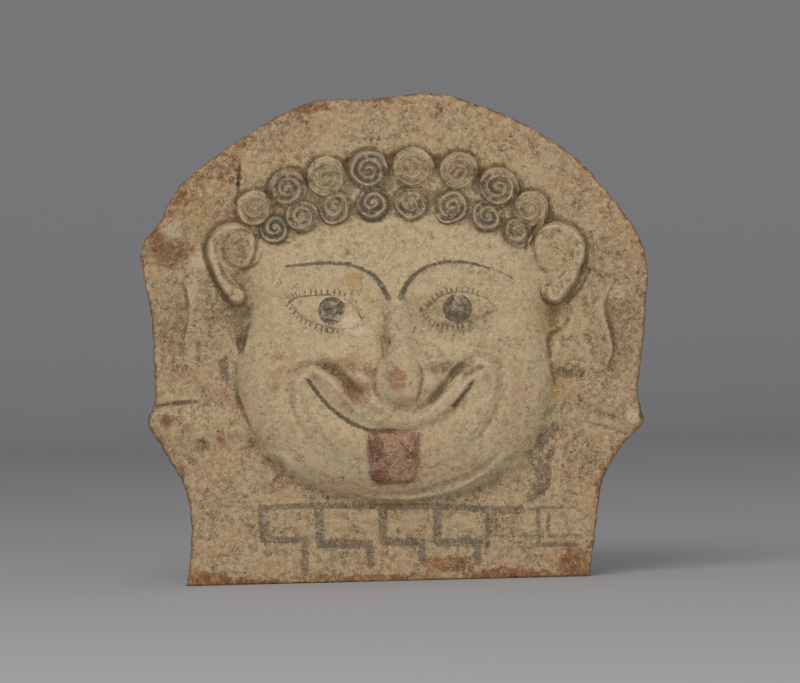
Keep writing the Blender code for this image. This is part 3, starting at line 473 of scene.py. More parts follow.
SNAKE_STROKES = [
    ([(-65.6, 86.8), (-64.6, 81.6)], 2.1, 1.8, 0.72),
    ([(-64.4, 90.0), (-64.0, 87.0)], 0.8, 1.2, 0.6),
    ([(-75.6, 89.0), (-74.0, 88.2)], 1.1, 1.0, 0.64),
    ([(-76.0, 96.0), (-75.0, 91.6)], 1.0, 1.0, 0.55),
    ([(-72.0, 104.0), (-70.4, 98.0)], 1.6, 1.6, 0.46),
    ([(-85.0, 65.2), (-81.8, 65.2)], 0.9, 1.0, 0.58),
    ([(-63.4, 113.4), (-62.0, 117.0)], 0.7, 0.7, 0.5),
    ([(69.4, 84.0), (72.4, 83.0), (77.6, 84.0)], 2.2, 1.6, 0.62),
    ([(74.0, 86.4), (76.0, 85.8)], 1.0, 1.0, 0.58),
    ([(79.6, 98.2), (80.8, 97.0)], 1.1, 1.1, 0.66),
    ([(78.8, 114.0), (79.6, 106.0)], 1.0, 1.0, 0.5),
    ([(85.0, 123.4), (88.6, 122.0)], 1.0, 0.9, 0.56),
    ([(82.0, 76.0), (86.4, 74.8)], 1.7, 1.5, 0.5),
    ([(83.4, 68.0), (90.4, 65.8)], 1.0, 1.2, 0.52),
    ([(67.2, 62.4), (65.2, 58.4)], 2.0, 2.2, 0.56),
    ([(63.0, 58.6), (60.4, 53.4)], 2.2, 2.2, 0.58),
    ([(66.0, 53.4), (64.8, 49.0)], 1.4, 1.6, 0.58),
    ([(57.6, 50.4), (62.0, 45.0)], 2.4, 2.8, 0.56),
    ([(62.4, 44.0), (61.8, 38.0), (58.0, 34.6)], 3.4, 2.4, 0.62),
    ([(52.0, 41.0), (55.8, 36.0)], 1.4, 1.6, 0.5),
    ([(62.4, 112.8), (64.4, 111.2), (67.6, 111.6)], 0.6, 0.5, 0.7),
    ([(63.4, 118.4), (65.4, 117.8)], 0.5, 0.4, 0.6),
    ([(-47.6, 45.8), (-46.0, 45.2)], 0.9, 0.9, 0.5),
]

# Stains: place, half width and half height, and how strong
ROSY_STAINS = [
    (-42.8, 89.6, 3.6, 2.2, 0.85),
    (-41.8, 84.0, 3.0, 2.2, 0.7),
    (-44.0, 77.4, 3.0, 2.6, 0.85),
    (4.0, 81.0, 5.0, 7.4, 1.05),
    (-88.0, 64.4, 3.4, 3.8, 1.1),
    (0.4, 96.0, 2.6, 2.4, 0.9),
    # These three, beside the left nostril wing and under the left cheek, paint shade there as well as
    # reddish clay
    (-8.0, 84.4, 4.4, 3.4, 0.9),
    (-18.0, 86.2, 12.0, 4.4, 0.75),
    (-13.6, 76.0, 7.0, 8.0, 1.0),
    (-32.0, 82.0, 6.0, 5.0, 0.5),
    (6.0, 70.0, 16.0, 4.0, 0.5),
    (22.0, 62.0, 10.0, 5.0, 0.5),
    (36.0, 93.6, 8.0, 4.0, 0.5),
    (16.0, 60.0, 22.0, 5.0, 0.32),
    (-20.0, 60.0, 10.0, 8.0, 0.3),
    (50.0, 78.0, 6.0, 16.0, 0.5),
    (48.0, 62.0, 8.0, 8.0, 0.55),
    (28.0, 44.0, 22.0, 6.0, 0.5),
    (-8.0, 37.0, 34.0, 5.0, 0.5),
    (-46.0, 66.0, 6.0, 12.0, 0.3),
    (-88.0, 130.0, 10.0, 8.0, 0.95),
    (-82.0, 133.0, 9.0, 4.0, 0.85),
    (-91.0, 118.0, 6.0, 18.0, 0.5),
    (-84.0, 104.0, 5.0, 14.0, 0.6),
    (-92.0, 96.0, 3.0, 16.0, 0.45),
    (-82.0, 80.0, 12.0, 8.0, 0.5),
    (-70.0, 74.0, 14.0, 3.0, 0.55),
    (-72.0, 48.0, 14.0, 12.0, 0.45),
    (-66.0, 55.6, 3.0, 4.4, 0.8),
    (-52.0, 56.6, 3.0, 2.4, 0.6),
    (84.0, 44.0, 14.0, 16.0, 0.6),
    (78.0, 56.0, 12.0, 5.0, 0.6),
    (70.0, 86.0, 5.0, 9.0, 0.4),
    (94.0, 146.0, 10.0, 14.0, 0.6),
    (99.0, 128.0, 6.0, 9.0, 0.55),
    (76.0, 164.0, 18.0, 12.0, 0.55),
    (40.0, 182.0, 22.0, 7.0, 0.5),
    (2.0, 187.0, 34.0, 5.0, 0.45),
    (-38.0, 178.0, 20.0, 11.0, 0.6),
    (-64.0, 160.0, 8.0, 12.0, 0.5),
    (-66.0, 148.0, 10.0, 8.0, 0.45),
    (0.0, 8.0, 70.0, 4.0, 0.4),
    (70.0, 10.0, 14.0, 9.0, 0.7),
    (-8.0, 20.0, 60.0, 5.0, 0.28),
    (39.0, 121.0, 12.0, 6.0, 0.32),
    (0.0, 134.0, 40.0, 4.0, 0.25),
]
AMBER_STAINS = [
    (-13.0, 120.0, 5.0, 6.0, 0.8),
    (-9.0, 114.0, 4.0, 5.0, 0.6),
    (-11.6, 108.6, 2.6, 1.8, 0.9),
    (-38.4, 124.0, 2.6, 3.0, 0.7),
    (18.0, 127.6, 5.0, 2.0, 0.5),
    (-60.0, 130.0, 10.0, 10.0, 0.55),
    (67.0, 132.0, 11.0, 11.0, 0.6),
    (65.0, 105.0, 9.0, 12.0, 0.8),
    (70.0, 80.0, 9.0, 9.0, 0.8),
    (66.0, 90.0, 4.0, 9.0, 0.5),
    (76.0, 96.0, 5.0, 14.0, 0.45),
    (60.4, 152.0, 4.0, 8.0, 0.6),
    (-30.0, 105.6, 4.0, 2.6, 0.4),
    (-5.0, 139.6, 44.0, 4.0, 0.5),
    (-76.0, 147.0, 11.0, 10.0, 0.65),
    (-70.0, 64.0, 18.0, 6.0, 0.4),
    (-70.0, 18.0, 8.0, 14.0, 0.4),
    (-88.0, 78.0, 5.0, 6.0, 0.4),
]
# Grime, and shade painted into the hollow below the left ear, the right eye's socket, the creases under the
# cheeks and beside the nose: place, half width and half height, and how strong
GRIME_AND_SHADE_STAINS = [
    (-86.0, 132.6, 12.0, 7.0, 1.7),
    (-73.0, 133.0, 4.0, 12.0, 0.5),
    (-66.0, 144.4, 10.0, 3.0, 0.35),
    (-59.2, 160.0, 1.4, 6.4, 2.4),
    (-66.0, 158.8, 8.0, 1.4, 0.5),
    (-58.0, 96.6, 2.8, 5.4, 3.4),
    (-58.0, 102.0, 5.0, 9.0, 1.3),
    (66.4, 105.0, 4.6, 7.0, 1.0),
    (65.2, 95.0, 1.6, 6.0, 1.6),
    (-64.0, 112.0, 8.0, 10.0, 0.45),
    (-67.0, 96.0, 9.0, 9.0, 0.4),
    (80.0, 127.0, 6.0, 11.0, 1.2),
    (87.0, 133.0, 10.0, 5.0, 0.9),
    (84.0, 72.0, 10.0, 5.0, 0.5),
    (77.0, 116.0, 6.0, 9.0, 0.35),
    (57.0, 128.0, 4.0, 9.0, 0.35),
    (101.4, 66.2, 1.6, 2.2, 3.0),
    (-75.0, 71.0, 20.0, 1.6, 0.9),
    (-88.4, 64.4, 3.0, 3.6, 1.6),
    (27.0, 85.0, 12.0, 4.4, 2.0),
    (20.0, 76.0, 4.0, 7.0, 1.2),
    (-14.6, 75.4, 4.6, 8.0, 0.8),
    (-20.0, 85.4, 11.0, 4.6, 0.9),
    (-70.0, 106.0, 13.0, 20.0, 0.95),
    (-86.0, 102.0, 10.0, 26.0, 1.1),
    (92.0, 102.0, 13.0, 26.0, 1.3),
    (-58.0, 72.0, 3.0, 12.0, 0.9),
    (-54.0, 60.0, 3.0, 9.0, 0.7),
    (-77.0, 148.0, 12.0, 11.0, 0.9),
    (-60.0, 127.0, 10.0, 14.0, 1.5),
    (-4.0, 54.0, 4.4, 6.0, 1.0),
    (-3.0, 42.4, 5.0, 3.6, 1.0),
    (9.4, 53.6, 3.4, 4.6, 0.9),
    (25.0, 107.0, 18.0, 10.0, 1.5),
    (4.0, 79.0, 8.0, 8.0, 0.7),
    (2.0, 100.0, 7.0, 14.0, 1.4),
    (-30.0, 107.0, 8.0, 5.0, 0.4),
    (-36.0, 106.0, 8.0, 6.0, 0.3),
    (10.0, 104.0, 4.0, 16.0, 0.3),
    (33.0, 56.0, 8.0, 8.0, 0.45),
    (-34.0, 56.0, 7.0, 9.0, 0.35),
    (-44.0, 47.0, 11.0, 7.0, 0.4),
    (62.0, 42.0, 10.0, 12.0, 0.45),
    (-70.0, 20.0, 14.0, 10.0, 0.25),
    (49.0, 20.0, 10.0, 5.0, 0.4),
    (-56.0, 84.0, 4.0, 14.0, 0.3),
]
CHALKY_STAINS = [
    (-13.0, 101.6, 6.0, 5.0, 0.9),
    (-16.4, 104.6, 5.0, 3.4, 0.8),
    (-24.0, 93.6, 12.0, 4.0, 0.3),
    (7.6, 104.0, 1.6, 8.0, 0.5),
    (66.0, 132.0, 8.0, 9.0, 0.5),
    (6.0, 76.0, 7.0, 4.0, 0.4),
    (28.6, 111.6, 2.6, 3.4, 1.4),
    (-32.0, 50.0, 14.0, 9.0, 0.5),
    (92.0, 116.0, 6.0, 4.0, 0.8),
    (98.0, 66.0, 3.4, 3.4, 0.9),
    (67.0, 94.0, 3.0, 4.0, 0.7),
    (-75.0, 128.0, 6.0, 6.0, 0.6),
    (-64.0, 124.0, 5.0, 7.0, 0.45),
    (-85.0, 141.0, 5.0, 6.0, 0.6),
    (-78.0, 90.0, 3.4, 8.0, 0.5),
    (22.0, 152.0, 20.0, 3.0, 0.3),
    (60.0, 166.0, 16.0, 9.0, 0.4),
    (-20.0, 174.0, 24.0, 4.0, 0.45),
]
# Where the slip has gone along the edges: place, half width and half height, and how bare
BARE_PATCHES = [
    (-72.0, 0.0, 14.0, 5.0, 1.0),
    (-50.0, -1.0, 18.0, 3.2, 0.8),
    (-12.0, 1.6, 44.0, 2.6, 0.7),
    (24.0, 6.6, 16.0, 4.6, 0.74),
    (50.0, 3.0, 26.0, 3.6, 0.84),
    (74.0, 6.4, 9.0, 11.0, 0.88),
    (-33.0, 189.4, 14.0, 4.0, 0.8),
    (-36.0, 183.0, 16.0, 8.0, 0.4),
    (-6.8, 193.0, 14.0, 2.6, 0.8),
    (-58.0, 176.0, 12.0, 5.0, 0.66),
    (-78.0, 158.0, 9.0, 12.0, 0.6),
    (-93.0, 140.0, 6.0, 12.0, 0.75),
    (-86.0, 128.0, 8.0, 6.0, 0.45),
    (-97.0, 124.0, 4.0, 14.0, 0.55),
    (-94.0, 98.0, 3.0, 10.0, 0.42),
    (-91.0, 53.0, 5.0, 8.0, 0.7),
    (-84.0, 40.0, 4.6, 12.0, 0.78),
    (-79.6, 22.0, 3.0, 16.0, 0.6),
    (92.0, 50.0, 5.0, 9.0, 0.68),
    (86.0, 36.0, 4.6, 16.0, 0.66),
    (82.6, 14.0, 3.4, 12.0, 0.6),
    (102.0, 120.0, 4.0, 20.0, 0.5),
    (101.0, 84.0, 2.4, 16.0, 0.45),
    (84.0, 158.0, 16.0, 9.0, 0.42),
    (46.0, 186.0, 20.0, 4.6, 0.45),
    (98.0, 140.0, 6.0, 9.0, 0.5),
]


def through(points):
    """A smooth line through drawn points, as a run of short straight steps."""
    knots = np.array(points, dtype=float)
    knots = np.vstack([2 * knots[0] - knots[1], knots, 2 * knots[-1] - knots[-2]])
    steps = np.linspace(0.0, 1.0, LINE_STEPS, endpoint=False)[:, None]
    runs = []
    for a, b, c, d in zip(knots[:-3], knots[1:-2], knots[2:-1], knots[3:]):
        bend = 2 * a - 5 * b + 4 * c - d
        runs.append(b + 0.5 * steps * (c - a + steps * (bend + steps * (3 * b - a - 3 * c + d))))
    return np.vstack(runs + [knots[-2:-1]])


def spaced(line, step):
    """The same line with points an even step apart, both ends kept."""
    lengths = np.append(0.0, np.cumsum(np.hypot(*np.diff(line, axis=0).T)))
    count = max(2, int(round(lengths[-1] / step)) + 1)
    stops = np.linspace(0.0, lengths[-1], count)
    return np.column_stack([np.interp(stops, lengths, line[:, 0]), np.interp(stops, lengths, line[:, 1])])


def from_run(x, z, line):
    """Each place's distance from a run of straight steps, its share of the way along and its side.

    The side is above 0 to the left of the line as it runs, and below 0 to the right of it.
    """
    nearest = np.full(np.shape(x), np.inf)
    share = np.zeros(np.shape(x))
    side = np.zeros(np.shape(x))
    for number, (start, end) in enumerate(zip(line[:-1], line[1:])):
        run = end - start
        along = ((x - start[0]) * run[0] + (z - start[1]) * run[1]) / (run @ run)
        along = np.clip(along, 0.0, 1.0)
        distance = np.hypot(x - start[0] - along * run[0], z - start[1] - along * run[1])
        closer = distance < nearest
        nearest = np.where(closer, distance, nearest)
        share = np.where(closer, (number + along) / (len(line) - 1), share)
        side = np.where(closer, run[0] * (z - start[1]) - run[1] * (x - start[0]), side)
    return nearest, share, side


def near_line(x, z, line, reach):
    """As from_run, worked out only within reach of the line's box; elsewhere the distance is endless."""
    low = line.min(axis=0) - reach
    high = line.max(axis=0) + reach
    close = (x > low[0]) & (x < high[0]) & (z > low[1]) & (z < high[1])
    nearest = np.full(np.shape(x), np.inf)
    share = np.zeros(np.shape(x))
    side = np.zeros(np.shape(x))
    nearest[close], share[close], side[close] = from_run(x[close], z[close], line)
    return nearest, share, side


def rise(value, low, high):
    """0 below low and 1 above high, with a smooth rise between them."""
    share = np.clip((value - low) / (high - low), 0.0, 1.0)
    return share * share * (3.0 - 2.0 * share)


def round_top(distance, radius):
    """A rounded section: 1 on the middle line, 0 at the radius and beyond."""
    return np.clip(1.0 - (distance / radius) ** 2, 0.0, 1.0)


def soft_ridge(distance, radius):
    """A ridge with soft feet: 1 on the middle line, 0 at the radius and beyond."""
    return round_top(distance, radius) ** 2


def soft_round(x, z, centre_x, centre_z, radius):
    """A soft round bump or pit: 1 at its centre, 0 at the radius and beyond."""
    return soft_ridge(np.hypot(x - centre_x, z - centre_z), radius)


def soft_ring(x, z, centre_x, centre_z, radius, half_width):
    """A soft ring: 1 on its middle line, 0 at its half width and beyond."""
    return soft_ridge(np.abs(np.hypot(x - centre_x, z - centre_z) - radius), half_width)


def close_to(x, z, line, reach):
    """Which places lie within reach of a line."""
    return near_line(x, z, line, reach)[0] < reach


class Lumps:
    """Soft random heights through space, the same on every run."""

    CELLS = 48

    def __init__(self, seed):
        self.values = np.random.default_rng(seed).uniform(-1.0, 1.0, (self.CELLS,) * 3)

    def at(self, places, size):
        """Values from -1 to 1 that change over lumps of about the given size."""
        spread = np.asarray(places, dtype=float) / size
        cell = np.floor(spread).astype(int)
        share = spread - cell
        share = share * share * (3.0 - 2.0 * share)
        total = np.zeros(len(spread))
        for corner in itertools.product((0, 1), repeat=3):
            a, b, c = ((cell + corner) % self.CELLS).T
            weight = np.prod(np.where(corner, share, 1.0 - share), axis=1)
            total += weight * self.values[a, b, c]
        return total


LUMPS = Lumps(11)
CHIPS = Lumps(29)
# Where each kind of unevenness is cut from the lumps, so that no two are alike
HAIR_SLICE = 15.0
EDGE_SLICE = 40.0
BACK_SLICE = 70.0
SCAR_SLICE = 90.0
# How far along the back's edge is read, so that it wears unlike the front's
BACK_EDGE_APART = 300.0


def on_sheet(x, z, depth=0.0):
    """Drawn places as points in space, for the lumps."""
    return np.column_stack([x, np.full(len(x), depth), z])


def head_reach(x, z):
    """0 at the middle of the head and 1 on its edge."""
    across = np.abs(x - HEAD_CENTRE[0]) / HEAD_HALF_WIDTH
    up = z - HEAD_CENTRE[1]
    along = np.where(up > 0, up / HEAD_TO_TOP, -up / HEAD_TO_CHIN)
    power = np.where(up > 0, SKULL_SQUARENESS, JAW_SQUARENESS)
    return (across**power + along**power) ** (1.0 / power)


def head_dome(x, z):
    return HEAD_RELIEF * np.sqrt(np.clip(1.0 - head_reach(x, z) ** 2.4, 0.0, 1.0))


def lost_beside_cheeks(x, z):
    """The share of the dome that is missing outside the cheeks' edges, more towards the jaw."""
    lost = np.zeros(np.shape(x))
    for points, most in CHEEK_EDGES:
        distance, share, side = near_line(x, z, through(points), CHEEK_EDGE_REACH)
        outside = np.where(side * np.sign(points[0][0]) > 0, distance, 0.0)
        lost = np.maximum(lost, most * rise(share, 0.1, 0.5) * rise(outside, 0.0, CHEEK_EDGE_SLOPE))
    return lost


def pressed_askew(x, z):
    """Places on the hair moved a little, as soft clay moves under the tool."""
    places = on_sheet(x, z, HAIR_SLICE)
    return x + 0.6 * LUMPS.at(places, 5.5), z + 0.6 * CHIPS.at(places, 5.5)


def nearest_curl(x, z):
    """For each place: how far inside its nearest curl it is, its place from the centre, turn and paint."""
    x, z = pressed_askew(x, z)
    centre_x, centre_z, radius, turn, paint = np.array(UPPER_CURLS + LOWER_CURLS).T
    inside = radius[:, None] - np.hypot(x - centre_x[:, None], z - centre_z[:, None])
    nearest = inside.argmax(axis=0)
    return inside.max(axis=0), x - centre_x[nearest], z - centre_z[nearest], turn[nearest], paint[nearest]


def hair_bed(x, z):
    """How far the hair between the curls stands out, before the curls themselves."""
    height = np.zeros(np.shape(x))
    for row, drop, half_width in HAIR_BEDS:
        line = through([(curl[0], curl[1] - drop) for curl in row])
        distance = near_line(x, z, line, half_width + 1.0)[0]
        height = np.maximum(height, HAIR_BED_RELIEF * rise(-distance, -half_width, 3.0 - half_width))
    return height


def curls(x, z):
    """The height of the curls where one stands, with the soft swell of each spiral, and 0 elsewhere."""
    x, z = pressed_askew(x, z)
    ground = np.maximum(head_dome(x, z), CURL_GROUND)
    height = np.zeros(np.shape(x))
    for centre_x, centre_z, radius, start, _ in UPPER_CURLS + LOWER_CURLS:
        distance = np.hypot(x - centre_x, z - centre_z)
        round_centre = np.arctan2(z - centre_z, x - centre_x) / (2.0 * math.pi)
        phase = distance / SPIRAL_PITCH + round_centre + start
        swell = SPIRAL_RELIEF * np.cos(2.0 * math.pi * phase)
        swell *= rise(distance, 0.2, 1.2) * rise(radius - distance, 0.0, 0.8)
        boss = ground + CURL_RELIEF * np.sqrt(round_top(distance, radius)) + swell
        height = np.where(distance < radius, np.maximum(height, boss), height)
    return height


def inside_ear(x, z, ear):
    """How far inside the comma's edge a place is; less than 0 outside it."""
    centre_x, centre_z, radius = ear[0]
    head = radius - np.hypot(x - centre_x, z - centre_z)
    inside = np.full(np.shape(x), -np.inf)
    tail = ear[1:]
    for (x0, z0, r0), (x1, z1, r1) in zip(tail[:-1], tail[1:]):
        along = ((x - x0) * (x1 - x0) + (z - z0) * (z1 - z0)) / ((x1 - x0) ** 2 + (z1 - z0) ** 2)
        along = np.clip(along, 0.0, 1.0)
        distance = np.hypot(x - x0 - along * (x1 - x0), z - z0 - along * (z1 - z0))
        inside = np.maximum(inside, r0 + (r1 - r0) * along - distance)
    tail_x, tail_z, _ = np.array(tail[::-1]).T
    inwards = (np.interp(z, tail_z, tail_x) - x) * np.sign(centre_x)
    shared = np.clip(1.0 - np.abs(head - inside) / EAR_WEB, 0.0, 1.0) * rise(inwards, -1.0, 3.0)
    return np.maximum(head, inside) + 0.25 * EAR_WEB * shared**2


def ears(x, z):
    """The ears' height: steep on their outer sides and running softly into the cheeks."""
    height = np.zeros(np.shape(x))
    for ear, (round_x, round_z, round_radius) in zip((LEFT_EAR, RIGHT_EAR), EAR_ROUNDS):
        inside = inside_ear(x, z, ear)
        across = x - ear[0][0]
        up = z - ear[0][1]
        from_middle = np.hypot(across, up)
        inwards = -across * np.sign(ear[0][0]) * math.cos(TOWARDS_CHEEK) - up * math.sin(TOWARDS_CHEEK)
        slow = rise(inwards / np.maximum(from_middle, 0.1), 0.1, 0.8) * rise(z - ear[-1][1], 2.0, 11.0)
        width = EAR_STEEP_WIDTH + (EAR_SLOW_WIDTH - EAR_STEEP_WIDTH) * slow
        from_round = np.hypot(x - round_x, z - round_z)
        crease = EAR_CREASE_DEPTH * soft_ridge(np.abs(from_round - round_radius), EAR_CREASE_WIDTH)
        rings = EAR_RING_RELIEF * np.cos(2.0 * math.pi * from_round / EAR_RING_PITCH)
        rings *= rise(-from_round, 0.5 - round_radius, 3.0 - round_radius)
        flap = EAR_RELIEF * np.sqrt(rise(inside, -0.3, width)) - crease + rings
        height = np.maximum(height, np.where(inside > -0.3, flap, 0.0))
    return height


def eye_reach(x, z, eye):
    """0 at the middle of an eye and 1 on its lids."""
    centre_x, centre_z, half_length, half_height, tilt = eye
    turn = math.radians(tilt)
    across = (x - centre_x) * math.cos(turn) + (z - centre_z) * math.sin(turn)
    up = (z - centre_z) * math.cos(turn) - (x - centre_x) * math.sin(turn)
    return np.hypot(across / half_length, up / half_height)


def eyes_and_brows(x, z):
    height = np.zeros(np.shape(x))
    for eye in (LEFT_EYE, RIGHT_EYE):
        reach = eye_reach(x, z, eye)
        height += EYE_RELIEF * soft_ridge(reach, 1.05)
        height -= SOCKET_DEPTH * rise(reach, 0.75, 1.05) * rise(-reach, -SOCKET_SHARE, -1.05)
    for brow in (LEFT_BROW, RIGHT_BROW):
        height += BROW_RELIEF * soft_ridge(near_line(x, z, through(brow), BROW_WIDTH)[0], BROW_WIDTH)
    return height


def nose(x, z):
    share = np.clip((NOSE_TOP[1] - z) / (NOSE_TOP[1] - NOSE_TIP[1]), 0.0, 1.0)
    middle = NOSE_TOP[0] + (NOSE_TIP[0] - NOSE_TOP[0]) * share
    half_width = NOSE_TOP_HALF_WIDTH + (NOSE_TIP_HALF_WIDTH - NOSE_TOP_HALF_WIDTH) * share**2.2
    under_tip = rise(z, NOSE_TIP[1] - 13.0, NOSE_TIP[1] - 4.0)
    slope = (0.3 + 0.7 * share**1.4) * under_tip * rise(-z, -NOSE_TOP[1] - 3.0, -NOSE_TOP[1] + 5.0)
    height = NOSE_RELIEF * slope * rise(-np.abs(x - middle), -1.3 * half_width, -0.15 * half_width)
    for centre_x, centre_z, radius in NOSTRIL_WINGS:
        height = np.maximum(height, NOSTRIL_RELIEF * soft_round(x, z, centre_x, centre_z, radius))
    return height


def mouth(x, z):
    height = np.zeros(np.shape(x))
    for centre_x, centre_z, half_width, half_height in CHEEKS:
        reach = np.hypot((x - centre_x) / half_width, (z - centre_z) / half_height)
        height += CHEEK_RELIEF * soft_ridge(reach, 1.0)
    distance = near_line(x, z, through(LOWER_LIP), LOWER_LIP_RADIUS)[0]
    height += LOWER_LIP_RELIEF * round_top(distance, LOWER_LIP_RADIUS)
    distance, share, _ = near_line(x, z, through(UPPER_LIP), LIP_RADIUS)
    taper = 0.55 + 0.45 * rise(0.5 - np.abs(share - 0.5), 0.0, 0.25)
    height = np.maximum(height, LIP_RELIEF * round_top(distance, LIP_RADIUS * taper))
    slit = near_line(x, z, through(MOUTH_SLIT), SLIT_RADIUS)[0]
    height -= SLIT_DEPTH * soft_ridge(slit, SLIT_RADIUS)
    return height


def inside_tongue(x, z):
    """How far inside the tongue's edge a place is; less than 0 outside it."""
    share = np.clip((TONGUE_TOP - z) / (TONGUE_TOP - TONGUE_TIP), 0.0, 1.0)
    half_width = TONGUE_HALF_WIDTH + (TONGUE_TIP_HALF_WIDTH - TONGUE_HALF_WIDTH) * share
    over_side = np.abs(x - TONGUE_MIDDLE) - half_width + TONGUE_CORNER
    over_tip = TONGUE_TIP + TONGUE_CORNER - z
    over_corner = np.hypot(np.maximum(over_side, 0.0), np.maximum(over_tip, 0.0))
    inside = TONGUE_CORNER - np.maximum(over_corner, np.maximum(over_side, over_tip))
    return np.minimum(inside, TONGUE_TOP - z)


def tongue(x, z):
    return TONGUE_RELIEF * np.sqrt(rise(inside_tongue(x, z), -0.2, 2.2))


def snakes(x, z):
    height = np.zeros(np.shape(x))
    for line, half_width, relief in SNAKES:
        distance = near_line(x, z, through(line), half_width)[0]
        height = np.maximum(height, relief * round_top(distance, half_width))
    for centre_x, centre_z, radius in SNAKE_EYES:
        height -= SNAKE_EYE_DEPTH * soft_round(x, z, centre_x, centre_z, radius)
    return height


def above_flake_edge(x, z):
    """How far a place lies beyond the line that bounds the lost flake; less than 0 on the sound side."""
    edge_x, edge_z = np.array(FLAKE_EDGE).T
    ragged = 0.9 * CHIPS.at(on_sheet(x, z), 2.6)
    return z + ragged - np.interp(x, edge_x, edge_z, right=BEYOND_FLAKE)


def tapered(x, z, points, half_width, slow_width=None):
    """A ridge along a line that runs out at both ends; its left-hand side may be given its own width."""
    widest = max(half_width, slow_width or 0.0)
    distance, share, side = near_line(x, z, through(points), widest)
    ends = np.sqrt(np.clip(4.0 * share * (1.0 - share), 0.0, 1.0))
    width = np.where(side > 0, slow_width or half_width, half_width) * (0.4 + 0.6 * ends)
    return ends * soft_ridge(distance, width)


def fine_work(x, z):
    """The finer folds, ridges, creases and losses that lie on the carving."""
    height = np.zeros(np.shape(x))
    for points, steep_width, slow_width, relief_there in FOLDS:
        height += relief_there * tapered(x, z, points, steep_width, slow_width)
    for points, half_width, relief_there in FINE_RIDGES:
        height += relief_there * tapered(x, z, points, half_width)
    for points, half_width, depth in CREASES:
        height -= depth * tapered(x, z, points, half_width)
    for centre_x, centre_z, radius, half_width in COILS:
        height += COIL_RELIEF * soft_ring(x, z, centre_x, centre_z, radius, half_width)
    for centre_x, centre_z, radius, depth in PITS:
        height -= depth * soft_round(x, z, centre_x, centre_z, radius)
    for centre_x, centre_z, radius in CURL_NOTCHES:
        height -= NOTCH_DEPTH * soft_round(x, z, centre_x, centre_z, radius)
    return height + PELLET_RELIEF * soft_ring(x, z, *PELLET, PELLET_RIM)


class Chart:
    """Values on an even grid over the sheet, read between its points."""

    PITCH = 0.5
    ACROSS = np.arange(-112.0, 112.0, PITCH)
    UP = np.arange(-8.0, 206.0, PITCH)

    def __init__(self, values):
        self.values = values

    @classmethod
    def of(cls, measure):
        """A chart of what a function gives for places on the sheet."""
        x, z = np.meshgrid(cls.ACROSS, cls.UP)
        return cls(measure(x.ravel(), z.ravel()).reshape(x.shape))

    def softened(self, spread):
        """The same chart blurred over a spread in millimetres."""
        reach = int(3.0 * spread / self.PITCH) + 1
        steps = np.arange(-reach, reach + 1) * self.PITCH
        weights = np.exp(-0.5 * (steps / spread) ** 2)
        weights /= weights.sum()
        values = np.pad(self.values, reach, mode="edge")
        rows = sum(weight * values[number : number + len(self.UP)] for number, weight in enumerate(weights))
        count = len(self.ACROSS)
        columns = sum(weight * rows[:, number : number + count] for number, weight in enumerate(weights))
        return Chart(columns)

    def at(self, x, z):
        column = np.clip((x - self.ACROSS[0]) / self.PITCH, 0, len(self.ACROSS) - 1.001)
        row = np.clip((z - self.UP[0]) / self.PITCH, 0, len(self.UP) - 1.001)
        c = column.astype(int)
        r = row.astype(int)
        u = column - c
        v = row - r
        lower = self.values[r, c] * (1 - u) + self.values[r, c + 1] * u
        upper = self.values[r + 1, c] * (1 - u) + self.values[r + 1, c + 1] * u
        return lower * (1 - v) + upper * v


def big_forms(x, z):
    """The head, the snakes and the hollows between them, before they were softened."""
    ground = np.zeros(np.shape(x))
    for line, half_width, depth in HOLLOWS:
        ground -= depth * soft_ridge(near_line(x, z, through(line), 2.0 * half_width)[0], half_width)
    distance = near_line(x, z, through(CHIN_LINE), CHIN_LINE_RADIUS)[0]
    ground += CHIN_LINE_RELIEF * soft_ridge(distance, CHIN_LINE_RADIUS)
    for centre_x, centre_z, radius, relief_there in EAR_CORNERS:
        filled = relief_there * rise(-np.hypot(x - centre_x, z - centre_z), -radius, -0.3 * radius)
        ground = np.maximum(ground, filled)
    return np.maximum(head_dome(x, z) * (1.0 - lost_beside_cheeks(x, z)), ground + snakes(x, z))


def features(x, z):
    """What stands on the head's dome."""
    height = eyes_and_brows(x, z) + nose(x, z) + mouth(x, z)
    return height * rise(head_dome(x, z), 0.0, 5.0)


def soft_forms():
    return Chart.of(big_forms).softened(BODY_SOFTNESS), Chart.of(features).softened(FACE_SOFTNESS)


BODY_CHART, FACE_CHART = soft_forms()


def relief(x, z):
    """How far the clay stands in front of the slab's plain field."""
    body = BODY_CHART.at(x, z) + FACE_CHART.at(x, z) + tongue(x, z)
    beyond = above_flake_edge(x, z)
    body -= FLAKE_DEPTH * rise(beyond, 0.0, FLAKE_SLOPE_WIDTH)
    body -= 0.5 * rise(beyond, 0.0, 1.0) * (0.5 + 0.5 * CHIPS.at(on_sheet(x, z), 3.4))
    bed = hair_bed(x, z)
    hair = np.maximum(body, CURL_GROUND * rise(bed, 0.0, HAIR_BED_RELIEF)) + bed
    carved = np.maximum(np.maximum(hair, ears(x, z)), curls(x, z))
    return carved + fine_work(x, z)


def hand_of_the_maker(x, z):
    """Small unevenness of pressed clay over the whole front."""
    places = on_sheet(x, z)
    on_plate = rise(head_reach(x, z), 0.95, 1.1)
    swell = (0.10 + 0.14 * on_plate) * LUMPS.at(places, 9.0)
    grain = (0.04 + 0.05 * on_plate) * LUMPS.at(places, 2.1)
    return swell + grain


